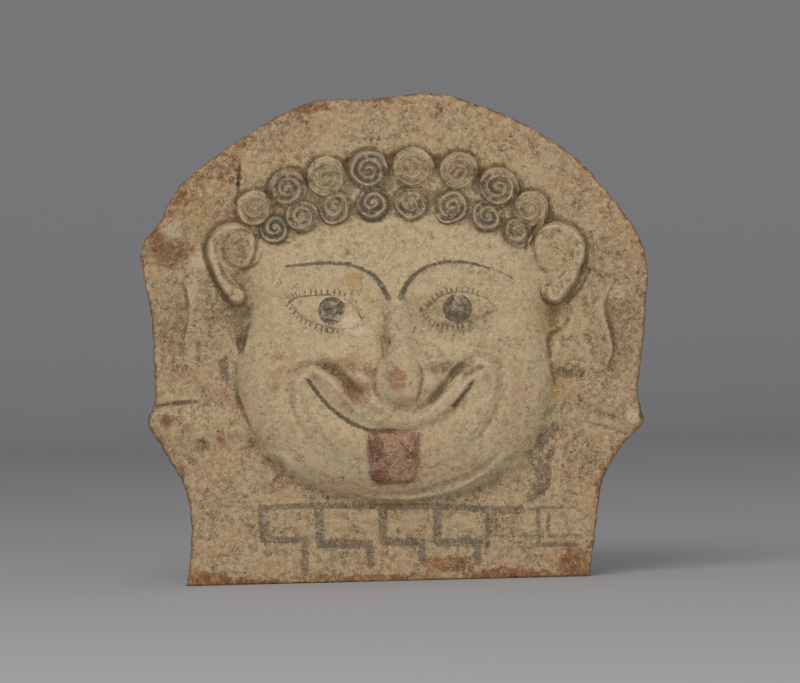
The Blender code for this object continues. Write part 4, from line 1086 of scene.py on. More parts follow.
def fineness(x, z):
    """2 where the work is fine, 1 where it is plainer and 0 on the plain field."""
    fine = nearest_curl(x, z)[0] > -1.0
    for ear in (LEFT_EAR, RIGHT_EAR):
        fine |= inside_ear(x, z, ear) > -2.0
    for points, half_width, *_ in FOLDS + FINE_RIDGES + CREASES:
        fine |= close_to(x, z, through(points), half_width + 0.3)
    for points, start, end, _ in BROW_STROKES + LID_STROKES + MOUTH_STROKES:
        fine |= close_to(x, z, through(points), max(start, end) + 0.5)
    for points, _ in CHEEK_EDGES:
        fine |= close_to(x, z, through(points), 4.0)
    for centre_x, centre_z, radius, _ in PITS:
        fine |= np.hypot(x - centre_x, z - centre_z) < radius + 0.4
    fine |= np.hypot(x - PELLET[0], z - PELLET[1]) < PELLET[2] + 1.0
    fine |= np.abs(inside_tongue(x, z) - 0.8) < 1.2
    reach = head_reach(x, z)
    fine |= (reach > 0.975) & (reach < 1.01)
    middling = (reach > 0.93) & (reach < 1.05)
    for eye in (LEFT_EYE, RIGHT_EYE):
        middling |= eye_reach(x, z, eye) < 1.45
    for line, half_width, _ in SNAKES + HOLLOWS:
        middling |= close_to(x, z, through(line), half_width + 1.0)
    for centre_x, centre_z, radius, half_width in COILS:
        middling |= np.hypot(x - centre_x, z - centre_z) < radius + 1.5 * half_width
    for line, radius in ((UPPER_LIP, 5.0), (LOWER_LIP, 6.0), (LEFT_BROW, 3.5), (RIGHT_BROW, 3.5)):
        middling |= close_to(x, z, through(line), radius)
    for points, start, end, _ in BASE_BAND_STROKES:
        middling |= close_to(x, z, through(points), 2.2)
    for points, half_width, _ in MEANDER:
        middling |= close_to(x, z, np.array(points), half_width + 1.0)
    middling |= (np.abs(x - NOSE_TIP[0]) < 20.0) & (z > TONGUE_TIP - 2.0) & (z < NOSE_TOP[1])
    middling |= (above_flake_edge(x, z) > -2.0) & (x < -55.0)
    return np.where(fine, 2, np.where(middling, 1, 0))


def levelled(points):
    """Drawn places turned so that the trimmed base lies level, still in drawn millimetres."""
    x, z = np.asarray(points, dtype=float).T
    across = x * math.cos(TRIM_ANGLE) + z * math.sin(TRIM_ANGLE)
    return np.column_stack([across, z * math.cos(TRIM_ANGLE) - x * math.sin(TRIM_ANGLE)])


def drawn_edge():
    """The slab's edge: clockwise from the left end of the base, then along it; how many are not base."""
    upper = spaced(through(OUTLINE), OUTLINE_STEP)
    count = int(round((BASE_RIGHT - BASE_LEFT) / OUTLINE_STEP))
    base = np.linspace(BASE_RIGHT, BASE_LEFT, count + 1)[1:-1]
    return np.vstack([upper, np.column_stack([base, base * math.tan(TRIM_ANGLE)])]), len(upper)


def inward_of(edge):
    """The direction into the clay at each point of the closed edge."""
    forward = np.roll(edge, -1, axis=0) - np.roll(edge, 1, axis=0)
    forward /= np.hypot(forward[:, 0], forward[:, 1])[:, None]
    return np.column_stack([forward[:, 1], -forward[:, 0]])


def inside_outline(places, edge):
    """Which places lie inside the closed edge."""
    x = places[:, 0]
    z = places[:, 1]
    inside = np.zeros(len(places), dtype=bool)
    for (x0, z0), (x1, z1) in zip(edge, np.roll(edge, -1, axis=0)):
        if z0 != z1:
            crossed = (z0 > z) != (z1 > z)
            inside ^= crossed & (x < x0 + (z - z0) * (x1 - x0) / (z1 - z0))
    return inside


def point_finder(places):
    finder = KDTree(len(places))
    for number, (x, z) in enumerate(places):
        finder.insert((x, z, 0.0), number)
    finder.balance()
    return finder


def away_from(places, finder):
    """The distance from each place to the nearest of the points in the finder."""
    return np.array([finder.find((x, z, 0.0))[2] for x, z in places])


def worn_edge():
    """The edge with its small chips, except along the base, which was cut."""
    edge, upper_count = drawn_edge()
    places = on_sheet(edge[:, 0], edge[:, 1])
    worn = 0.28 + 0.3 * CHIPS.at(places, 5.0) + 0.22 * CHIPS.at(places, 1.7)
    worn = np.clip(worn, 0.0, None)
    number = np.arange(len(edge))
    from_base = np.minimum(number, upper_count - 1 - number) * OUTLINE_STEP
    worn *= rise(from_base, 0.0, 6.0)
    return edge + inward_of(edge) * worn[:, None]


def lattice(step):
    """Rows of points over the sheet, each half a step along from the one below, with their numbers."""
    row_step = step * math.sqrt(0.75)
    row, column = np.mgrid[0 : int(SHEET_HEIGHT / row_step), 0 : int(SHEET_WIDTH / step)]
    row = row.ravel()
    shifted = column.ravel() - row // 2
    return step * (shifted + row / 2.0) - SHEET_WIDTH / 2.0, row_step * row, row, shifted


def rings_inside(edge, distances, finest):
    """Points along the edge moved inwards by each distance, none closer to another than finest."""
    inward = inward_of(edge)
    placed = edge
    for distance in distances:
        ring = edge + distance * inward
        ring = ring[inside_outline(ring, edge)]
        ring = ring[away_from(ring, point_finder(placed)) > finest]
        placed = np.vstack([placed, ring])
    return placed


def front_points(edge):
    """The edge, rings inside it, and a lattice that is closer where the work is finer."""
    placed = rings_inside(edge, RIM_RINGS, 0.3)
    x, z, row, shifted = lattice(FINE_STEP)
    level = fineness(x, z)
    middling = (shifted - row) % 3 == 0
    coarse = (shifted % 3 == 0) & (row % 3 == 0)
    kept = (level == 2) | ((level == 1) & middling) | coarse
    places = np.column_stack([x[kept], z[kept]])
    steps = FINE_STEP * np.array([1.0, math.sqrt(3.0), 3.0])[2 - level[kept]]
    inside = inside_outline(places, edge)
    places = places[inside]
    free = away_from(places, point_finder(placed)) > np.minimum(0.6 * steps[inside], 0.6)
    return np.vstack([placed, places[free]])


def back_points(edge):
    """The same for the back, with closer points along the foot and brink of the tile's scar."""
    placed = rings_inside(edge, BACK_RINGS, 0.4)
    arcs = []
    for radius in (TILE_RADIUS / SCALE, (TILE_RADIUS - TILE_WALL) / SCALE):
        for offset in SCAR_ROWS:
            turn = np.arange(0.02, math.pi - 0.02, SCAR_STEP / radius)
            arcs.append((radius + offset) * np.column_stack([np.cos(turn), np.sin(turn)]))
    arcs = np.vstack(arcs)
    placed = np.vstack([placed, arcs[away_from(arcs, point_finder(placed)) > 0.5]])
    x, z, _, _ = lattice(BACK_STEP)
    places = np.column_stack([x, z])
    places = places[inside_outline(places, edge)]
    free = away_from(places, point_finder(placed)) > 0.9
    return np.vstack([placed, places[free]])


def triangles(points, edge_count):
    """Triangles over the points inside the edge, which are the first of them."""
    ring = list(range(edge_count))[::-1]
    found = delaunay_2d_cdt([tuple(p) for p in points], [], [ring], 1, 1e-6)
    places = np.array([(place.x, place.y) for place in found[0]])
    rim = {}
    for number, sources in enumerate(found[3]):
        for source in sources:
            if source < edge_count:
                rim[source] = number
    return places, np.array(found[2]), [rim[number] for number in range(edge_count)]


def rounding(distance, radius):
    """How far a worn edge falls back at a distance inside it."""
    share = np.clip(1.0 - distance / radius, 0.0, 1.0)
    return radius * (1.0 - np.sqrt(1.0 - share**2))


def edge_radius(x, z):
    """How far the edge has worn round, more where it is chipped."""
    places = on_sheet(x, z, EDGE_SLICE)
    chipped = rise(CHIPS.at(places, 4.5), 0.35, 0.8)
    return 1.5 + 0.4 * LUMPS.at(places, 8.0) + 1.1 * chipped


def scar_height(x, z):
    """The tile's broken end on the back, in levelled drawn millimetres."""
    radius = np.hypot(x, z)
    outer = TILE_RADIUS / SCALE
    inner = (TILE_RADIUS - TILE_WALL) / SCALE
    places = on_sheet(x, z, SCAR_SLICE)
    ragged = 0.35 * CHIPS.at(places, 2.5)
    inside = np.minimum(outer - radius, radius - inner) + ragged
    crumbs = 0.35 * (0.5 + 0.5 * CHIPS.at(places, 2.2)) + 0.3 * (0.5 + 0.5 * LUMPS.at(places, 6.0))
    return rise(inside, -0.3, 0.8) * (TILE_SCAR_DEPTH / SCALE - crumbs)


def back_unevenness(x, z):
    """The back was smoothed by hand: shallow finger furrows and lumps, all below its plane."""
    places = on_sheet(x, z, BACK_SLICE)
    furrows = 0.22 * (0.5 + 0.5 * LUMPS.at(places * (1.0, 1.0, 3.2), 16.0))
    return furrows + 0.14 * (0.5 + 0.5 * LUMPS.at(places, 5.0)) + 0.08 * (0.5 + 0.5 * CHIPS.at(places, 2.0))


SOLID_LOW, SOLID_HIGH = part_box("antefix")
EDGE = worn_edge()
LEVEL_EDGE = levelled(drawn_edge()[0])
SCALE = (SOLID_HIGH[2] - SOLID_LOW[2]) / LEVEL_EDGE[:, 1].max()
MIDDLE = (LEVEL_EDGE[:, 0].min() + LEVEL_EDGE[:, 0].max()) * SCALE / 2.0
SHIFT = (SOLID_LOW[0] + SOLID_HIGH[0]) / 2.0 - MIDDLE
BACK_PLANE = SOLID_HIGH[1] - TILE_SCAR_DEPTH
FRONT_FIELD = BACK_PLANE - SLAB_THICKNESS


def in_metres(x, depth, z):
    """Levelled drawn places with a depth in metres, as the antefix stands."""
    return np.column_stack([x * SCALE + SHIFT, depth, np.maximum(z * SCALE, 0.0)])


# How far from paint, lids and curls the readings reach
FAR_FROM_PAINT = 3.0
FAR_FROM_LIDS = 9.0
FAR_FROM_CURLS = 6.0


def strokes_near(x, z):
    """For each place: how far inside the nearest painted stroke it is, and how much paint is left."""
    inside = np.full(np.shape(x), -FAR_FROM_PAINT)
    left = np.zeros(np.shape(x))
    brushed = BROW_STROKES + MOUTH_STROKES + LID_STROKES + BASE_BAND_STROKES + CURL_STROKES + SNAKE_STROKES
    runs = [(through(points), start, end, paint) for points, start, end, paint in brushed]
    runs += [(np.array(points), width, width, paint) for points, width, paint in MEANDER]
    for line, start, end, paint in runs:
        distance, share, _ = near_line(x, z, line, 5.0)
        depth = start + (end - start) * share - distance
        closer = depth > inside
        inside = np.where(closer, depth, inside)
        left = np.where(closer, paint, left)
    return inside, left


def lashes_near(x, z):
    """For each place: how far outside the nearest lid it is, how far along it, and what is left there."""
    outside = np.full(np.shape(x), FAR_FROM_LIDS)
    along = np.zeros(np.shape(x))
    left = np.zeros(np.shape(x))
    for number, (points, remains) in enumerate(LASHES_LEFT):
        line = through(points)
        length = np.hypot(*np.diff(line, axis=0).T).sum()
        distance, share, _ = near_line(x, z, line, 6.0)
        closer = distance < outside
        outside = np.where(closer, distance, outside)
        along = np.where(closer, share * length + LIDS_APART * number, along)
        stops = np.linspace(0.0, 1.0, len(remains))
        left = np.where(closer, np.interp(share, stops, remains), left)
    for upper, lower in ((LEFT_UPPER_LID, LEFT_LOWER_LID), (RIGHT_UPPER_LID, RIGHT_LOWER_LID)):
        eye = np.vstack([through(upper), through(lower)[::-1]])
        within = inside_outline(np.column_stack([x, z]), eye)
        outside = np.where(within, -outside, outside)
    return outside, along, left


def inside_irises(x, z, outside_lids):
    inside = np.full(np.shape(x), -FAR_FROM_LIDS)
    for centre_x, centre_z, radius in IRISES:
        inside = np.maximum(inside, radius - np.hypot(x - centre_x, z - centre_z))
    return np.minimum(inside, -outside_lids - 0.2)


def stained(x, z, stains):
    """How strongly a place is stained by the given patches."""
    strength = np.zeros(np.shape(x))
    for centre_x, centre_z, half_width, half_height, most in stains:
        reach = np.hypot((x - centre_x) / half_width, (z - centre_z) / half_height)
        strength = np.maximum(strength, most * rise(-reach, -1.35, -0.35))
    return strength


def dark_notches():
    """Shade painted into the notches between the upper curls, with some grime, as stains."""
    return [(x, z, radius, 1.3 * radius, NOTCH_SHADE_AND_GRIME) for x, z, radius in CURL_NOTCHES]


def sunkenness(x, z):
    """How far each place lies below its surroundings, close by and further round, in millimetres."""
    height = Chart.of(relief)
    found = []
    for spread in (1.2, 4.5):
        below = Chart(height.softened(spread).values - height.values)
        found.append(below.at(x, z))
    return found


def front_readings(x, z, from_edge):
    """What the material needs to know at each place of the front."""
    painted, paint_left = strokes_near(x, z)
    outside_lids, along_lids, lashes_left = lashes_near(x, z)
    in_curl, curl_across, curl_up, curl_turn, curl_paint = nearest_curl(x, z)
    close, wide = sunkenness(x, z)
    beyond = above_flake_edge(x, z)
    flake = rise(beyond, -0.4, 0.8) * (x < -50.0)
    by_edge = rise(-from_edge, -2.4, -0.2)
    rosy_rim = 0.42 * rise(-from_edge, -20.0, -3.0)
    return {
        "painted": np.clip(painted, -FAR_FROM_PAINT, FAR_FROM_PAINT),
        "paint_left": paint_left,
        "outside_lids": np.clip(outside_lids, -FAR_FROM_LIDS, FAR_FROM_LIDS),
        "along_lids": along_lids,
        "lashes_left": lashes_left,
        "in_iris": np.clip(inside_irises(x, z, outside_lids), -FAR_FROM_PAINT, 6.0),
        "in_curl": np.clip(in_curl, -FAR_FROM_CURLS, 8.0),
        "curl_across": curl_across,
        "curl_up": curl_up,
        "curl_turn": curl_turn,
        "curl_paint": curl_paint,
        "in_hair": np.maximum(hair_bed(x, z) / HAIR_BED_RELIEF, rise(in_curl, -0.2, 0.3)),
        "in_tongue": np.clip(inside_tongue(x, z), -FAR_FROM_PAINT, 12.0),
        "sunk_close": np.clip(close, -1.5, 1.5),
        "sunk_wide": np.clip(wide, -4.0, 4.0),
        "on_face": rise(-head_reach(x, z), -1.02, -0.96) * rise(-in_curl, -0.5, 1.5),
        "rosy": np.maximum(stained(x, z, ROSY_STAINS), rosy_rim),
        "amber": stained(x, z, AMBER_STAINS),
        # Grime, and painted shade in hollows, the eye socket and the notches between the curls
        "grime_and_shade": stained(x, z, GRIME_AND_SHADE_STAINS + dark_notches()),
        "chalky": stained(x, z, CHALKY_STAINS),
        "bare": np.maximum(stained(x, z, BARE_PATCHES), np.maximum(0.7 * by_edge, 0.6 * flake)),
    }


# Off the front: no paint, and a plainer surface than the plate's
PLAIN_READINGS = {
    "on_face": 0.6,
    "painted": -FAR_FROM_PAINT,
    "outside_lids": FAR_FROM_LIDS,
    "in_iris": -FAR_FROM_PAINT,
    "in_curl": -FAR_FROM_CURLS,
    "in_tongue": -FAR_FROM_PAINT,
    "rosy": 0.35,
}

BARE_ON_SIDES = 0.5


def front_sheet():
    """The carved front: its places in metres, triangles, rim and readings."""
    drawn, faces, rim = triangles(front_points(EDGE), len(EDGE))
    x, z = drawn.T
    from_edge = away_from(drawn, point_finder(spaced(np.vstack([EDGE, EDGE[:1]]), 0.2)))
    from_edge[rim] = 0.0
    fallen = rounding(from_edge, edge_radius(x, z))
    height = relief(x, z) + hand_of_the_maker(x, z) * rise(from_edge, 0.0, 3.0)
    height *= rise(from_edge, -1.2, 2.0)
    level = levelled(drawn)
    places = in_metres(level[:, 0], FRONT_FIELD + (fallen - height) * SCALE, level[:, 1])
    return places, faces, rim, front_readings(x, z, from_edge)


def back_sheet():
    """The plain back with the broken end of the roof tile: its places, triangles and rim."""
    edge = levelled(EDGE)
    level, faces, rim = triangles(back_points(edge), len(edge))
    x, z = level.T
    from_edge = away_from(level, point_finder(spaced(np.vstack([edge, edge[:1]]), 0.2)))
    from_edge[rim] = 0.0
    scar = scar_height(x, z)
    fallen = rounding(from_edge, edge_radius(x, z + BACK_EDGE_APART))
    height = scar - back_unevenness(x, z) * rise(-scar, -0.5, 0.0) - fallen
    places = in_metres(x, BACK_PLANE + height * SCALE, z)
    bare = np.maximum(rise(scar, 0.3, 1.5), 0.5 * rise(-from_edge, -2.6, -0.3))
    return places, faces[:, ::-1], rim, {"bare": bare}


def side_rows(front_rim, back_rim):
    """Rows of points over the trimmed sides, between the front's rim and the back's."""
    inward = levelled(inward_of(EDGE))
    rows = []
    for row in range(1, SIDE_ROWS):
        share = row / SIDE_ROWS
        places = front_rim + (back_rim - front_rim) * share
        sheet = places * 1000.0
        worn = 0.22 + 0.25 * CHIPS.at(sheet, 6.0) + 0.16 * LUMPS.at(sheet, 2.0)
        worn = np.clip(worn, 0.0, None) * math.sin(math.pi * share) ** 0.4
        worn *= rise(places[:, 2], 0.0, 0.004) * SCALE
        places[:, 0] += inward[:, 0] * worn
        places[:, 2] += inward[:, 1] * worn
        rows.append(places)
    return rows


def join_sides(faces, rows):
    """Triangles between neighbouring rows of points, each row given by its vertex numbers."""
    count = len(rows[0])
    for front, back in zip(rows[:-1], rows[1:]):
        for number in range(count):
            following = (number + 1) % count
            faces.append((front[number], front[following], back[following]))
            faces.append((front[number], back[following], back[number]))


def clay_body():
    """The antefix as one closed mesh, and the names of the readings that it carries."""
    front, front_faces, front_rim, front_read = front_sheet()
    back, back_faces, back_rim, back_read = back_sheet()
    rows = side_rows(front[front_rim], back[back_rim])
    first_back = len(front)
    first_side = first_back + len(back)
    vertices = np.vstack([front, back] + rows)
    faces = [tuple(face) for face in front_faces] + [tuple(face + first_back) for face in back_faces]
    numbers = [np.array(front_rim)]
    for row in range(len(rows)):
        numbers.append(first_side + row * len(EDGE) + np.arange(len(EDGE)))
    numbers.append(first_back + np.array(back_rim))
    join_sides(faces, numbers)
    mesh = bpy.data.meshes.new("clay_body")
    mesh.from_pydata(vertices.tolist(), [], [tuple(int(corner) for corner in face) for face in faces])
    mesh.shade_smooth()
    for name, values in front_read.items():
        column = np.full(len(vertices), PLAIN_READINGS.get(name, 0.0))
        column[: len(front)] = values
        if name in back_read:
            column[first_back:first_side] = back_read[name]
        if name == "bare":
            column[first_side:] = BARE_ON_SIDES
        layer = mesh.attributes.new(name, "FLOAT", "POINT")
        layer.data.foreach_set("value", column.astype(np.float32))
    body = bpy.data.objects.new("clay_body", mesh)
    bpy.context.scene.collection.objects.link(body)
    return body, list(front_read)


class Reading:
    """A value on the surface that takes part in sums as a number does."""

    def __init__(self, bench, socket):
        self.bench = bench
        self.socket = socket

    def __add__(self, other):
        return self.bench.sum("ADD", self, other)

    def __radd__(self, other):
        return self.bench.sum("ADD", other, self)

    def __sub__(self, other):
        return self.bench.sum("SUBTRACT", self, other)

    def __rsub__(self, other):
        return self.bench.sum("SUBTRACT", other, self)

    def __mul__(self, other):
        return self.bench.sum("MULTIPLY", self, other)

    def __rmul__(self, other):
        return self.bench.sum("MULTIPLY", other, self)

    def __truediv__(self, other):
        return self.bench.sum("DIVIDE", self, other)

    def __pow__(self, other):
        return self.bench.sum("POWER", self, other)


class Bench:
    """Where one material is mixed."""

    def __init__(self, name):
        self.material = bpy.data.materials.new(name)
        self.material.use_nodes = True
        self.nodes = self.material.node_tree.nodes
        self.links = self.material.node_tree.links
        self.nodes.clear()

    def node(self, kind, settings=None, values=None, outlet=0):
        """A node of a kind, with its settings made first, then its sockets filled or linked."""
        made = self.nodes.new(kind)
        for name, setting in (settings or {}).items():
            setattr(made, name, setting)
        for name, value in (values or {}).items():
            if isinstance(value, Reading):
                self.links.new(value.socket, made.inputs[name])
            else:
                made.inputs[name].default_value = value
        return Reading(self, made.outputs[outlet])

    def finished(self, shader):
        """The material, with the shader as its surface."""
        end = self.nodes.new("ShaderNodeOutputMaterial")
        self.links.new(shader.socket, end.inputs["Surface"])
        return self.material

    def sum(self, operation, *terms):
        return self.node("ShaderNodeMath", {"operation": operation}, dict(enumerate(terms)))

    def rise(self, value, low, high):
        """0 at low and 1 at high, with a smooth rise between them."""
        values = {"Value": value, "From Min": low, "From Max": high}
        return self.node("ShaderNodeMapRange", {"interpolation_type": "SMOOTHSTEP"}, values)

    def read(self, name):
        return self.node("ShaderNodeAttribute", {"attribute_name": name}, outlet="Fac")

    def place(self):
        """The place on the clay, in metres."""
        return self.node("ShaderNodeTexCoord", outlet="Object")

    def moved(self, place, by, stretch=(1.0, 1.0, 1.0)):
        return self.node("ShaderNodeMapping", {}, {"Vector": place, "Location": by, "Scale": stretch})

    def noise(self, place, size, detail=2.0, roughness=0.5):
        """Cloudy values round 0.5 whose patches are about the given size in millimetres."""
        values = {"Vector": place, "Scale": 1000.0 / size, "Detail": detail, "Roughness": roughness}
        return self.node("ShaderNodeTexNoise", {}, values)

    def mix(self, share, under, over):
        """A colour laid over another by a share."""
        settings = {"data_type": "RGBA", "blend_type": "MIX"}
        return self.node("ShaderNodeMix", settings, {0: share, 6: under, 7: over}, 2)

    def shade(self, colour, by):
        """A colour made lighter or darker by a value."""
        return self.node("ShaderNodeVectorMath", {"operation": "SCALE"}, {0: colour, "Scale": by})


# Finishes, as linear colours
SLIP_ON_FACE = (0.452, 0.354, 0.209, 1.0)
SLIP_ON_PLATE = (0.415, 0.315, 0.18, 1.0)
PALE_SLIP = (0.64, 0.52, 0.34, 1.0)
OLIVE_GREY = (0.185, 0.145, 0.078, 1.0)
WORN_CLAY = (0.33, 0.185, 0.097, 1.0)
BARE_CLAY = (0.31, 0.115, 0.036, 1.0)
BROWN_CRUST = (0.115, 0.06, 0.03, 1.0)
DARK_SPECK = (0.058, 0.038, 0.022, 1.0)
# The brown of dirt and of painted shade, laid into hollows, creases and spiral valleys
DIRT_AND_SHADE = (0.105, 0.068, 0.03, 1.0)
AMBER = (0.37, 0.24, 0.095, 1.0)
ROSE = (0.23, 0.10, 0.05, 1.0)
TONGUE_RED = (0.275, 0.135, 0.085, 1.0)
TONGUE_DARK = (0.12, 0.038, 0.026, 1.0)
BLACK_PAINT = (0.04, 0.03, 0.02, 1.0)
BLUE_BLACK_PAINT = (0.062, 0.060, 0.066, 1.0)
IRIS_GREY = (0.115, 0.092, 0.068, 1.0)
IRIS_PALE = (0.36, 0.29, 0.21, 1.0)
# How well each layer hides what lies under it
AMBER_COVER = 0.75
CHALKY_COVER = 0.6
ROSY_COVER = 0.72
DIRT_AND_SHADE_COVER = 0.8
RUBBED_COVER = 0.22
BARE_COVER = 0.85
PAINT_COVER = 0.92
SPIRAL_COVER = 0.88
LID_COVER = 0.5
LASH_COVER = 0.8


def slip_colour(bench, place, readings):
    """The cream slip: greyed by weather in clouds, and rubbed thin to the reddish clay in others."""
    off_face = 1.0 - readings["on_face"]
    broad = bench.noise(bench.moved(place, (0.2, 0.9, 0.5)), 20.0, 2.0, 0.5)
    cloud = bench.noise(bench.moved(place, (0.3, 0.1, 0.7)), 6.0, 6.0, 0.75)
    mottle = bench.noise(bench.moved(place, (0.9, 0.4, 0.2)), 2.4, 5.0, 0.78)
    slip = bench.mix(readings["on_face"], SLIP_ON_PLATE, SLIP_ON_FACE)
    weathered = 0.5 * cloud + 0.75 * mottle - 0.125 + 0.2 * (broad - 0.5)
    olive = bench.rise(weathered + 0.035 * off_face, 0.49, 0.66) * (0.6 + 0.2 * off_face)
    colour = bench.mix(olive, slip, OLIVE_GREY)
    worn = 0.5 + 1.2 * (mottle - 0.5) - 0.9 * (cloud - 0.5) - 0.4 * (broad - 0.5) + 0.2 * readings["rosy"]
    colour = bench.mix(bench.rise(worn, 0.49, 0.72) * (0.5 + 0.08 * off_face), colour, WORN_CLAY)
    amber = bench.rise(readings["amber"] + 2.2 * (cloud - 0.5), 0.3, 1.0)
    colour = bench.mix(amber * AMBER_COVER, colour, AMBER)
    chalky = bench.rise(readings["chalky"] + 2.0 * (mottle - 0.5), 0.3, 0.95)
    colour = bench.mix(chalky * CHALKY_COVER, colour, PALE_SLIP)
    fleck = bench.noise(bench.moved(place, (0.9, 0.2, 0.1)), 2.0, 7.0, 0.82)
    rosy = bench.rise(readings["rosy"] + 3.2 * (fleck - 0.5), 0.55, 0.95)
    red = bench.mix(bench.rise(readings["rosy"], 0.6, 0.95), WORN_CLAY, ROSE)
    return bench.mix(rosy * ROSY_COVER, colour, red)


def specks(bench, place, colour, readings, painted):
    """Dark and brown flecks and pale grains, all irregular and small."""
    off_face = 1.0 - readings["on_face"]
    crowd = bench.noise(bench.moved(place, (0.7, 0.3, 0.3)), 7.0, 4.0, 0.7)
    pale = bench.rise(bench.noise(bench.moved(place, (0.5, 0.5, 0.1)), 1.0, 3.0, 0.65), 0.56, 0.66)
    colour = bench.mix(pale * (0.38 - 0.2 * painted), colour, PALE_SLIP)
    brown = bench.noise(bench.moved(place, (0.2, 0.6, 0.4)), 1.6, 6.0, 0.85)
    brown = bench.rise(brown + 0.5 * (crowd - 0.5) + 0.03 * off_face, 0.55, 0.67)
    colour = bench.mix(brown * (0.48 + 0.14 * off_face), colour, BROWN_CRUST)
    dark = bench.noise(bench.moved(place, (0.8, 0.1, 0.6)), 0.85, 3.0, 0.6)
    dark = bench.rise(dark + 0.5 * (crowd - 0.5) + 0.02 * off_face, 0.65, 0.71)
    colour = bench.mix(dark * (0.65 + 0.2 * off_face), colour, DARK_SPECK)
    grain = bench.noise(bench.moved(place, (0.4, 0.7, 0.9)), 0.6, 3.0, 0.7)
    return bench.shade(colour, 1.0 + (grain - 0.5) * 1.0)


def dirt_and_painted_shade(bench, place, colour, readings):
    """Brown dirt and painted shade in the hollows, creases and notches and between the curls, and rubbed,
    paler clay on what stands out.
    """
    cloud = bench.noise(bench.moved(place, (0.1, 0.8, 0.2)), 2.6, 6.0, 0.78)
    patchy = bench.rise(bench.noise(bench.moved(place, (0.6, 0.3, 0.5)), 8.0, 3.0, 0.6), 0.36, 0.64)
    off_tongue = 1.0 - bench.rise(readings["in_tongue"], -0.4, 0.4)
    sunk = readings["sunk_close"]
    foot = bench.rise(sunk, 0.7, 1.3)
    hollow = bench.rise(readings["sunk_wide"], 0.3, 2.6)
    between = readings["in_hair"] * bench.rise(0.0 - readings["in_curl"], -1.6, 0.2)
    # The darkening follows how far each place lies below its surroundings and between the curls: dirt, and
    # shade painted where it falls
    low = 0.35 * foot + bench.sum("MINIMUM", sunk, 0.6) * 1.3 + 0.22 * hollow + 0.22 * readings["in_hair"]
    low = low + 0.7 * between
    low = low * (0.55 + 0.65 * patchy) + 0.45 * readings["grime_and_shade"] * off_tongue
    dirt_and_shade = bench.rise(low + 2.4 * (cloud - 0.5), 0.1, 1.2)
    colour = bench.mix(dirt_and_shade * DIRT_AND_SHADE_COVER, colour, DIRT_AND_SHADE)
    proud = bench.rise(0.0 - sunk, 0.05, 0.4) * off_tongue
    return bench.mix(proud * RUBBED_COVER, colour, PALE_SLIP)


def worn_to_clay(bench, place, colour, readings):
    """Orange and brown fired clay where edges have lost their slip."""
    patch = bench.noise(bench.moved(place, (0.6, 0.1, 0.9)), 3.4, 8.0, 0.82)
    gone = bench.rise(readings["bare"] + 2.4 * (patch - 0.5), 0.48, 0.76)
    crust = bench.noise(bench.moved(place, (0.15, 0.45, 0.65)), 3.0, 7.0, 0.72)
    clay = bench.mix(bench.rise(crust, 0.42, 0.58) * 0.85, BARE_CLAY, BROWN_CRUST)
    clay = bench.mix(bench.rise(crust, 0.46, 0.38), clay, WORN_CLAY)
    return bench.mix(gone * BARE_COVER, colour, clay), gone


def painted_tongue(bench, place, colour, readings):
    cloud = bench.noise(bench.moved(place, (0.35, 0.2, 0.8)), 4.0, 6.0, 0.75)
    wear = bench.noise(bench.moved(place, (0.8, 0.8, 0.2)), 1.0, 4.0, 0.75)
    dark = bench.rise(cloud + 0.16 * readings["grime_and_shade"], 0.52, 0.68)
    red = bench.mix(dark, TONGUE_RED, TONGUE_DARK)
    kept = bench.rise(readings["in_tongue"] + 0.8 * (wear - 0.5), -0.3, 0.3)
    return bench.mix(kept * bench.rise(0.98 - wear + 0.1 * dark, 0.25, 0.58) * PAINT_COVER, colour, red)


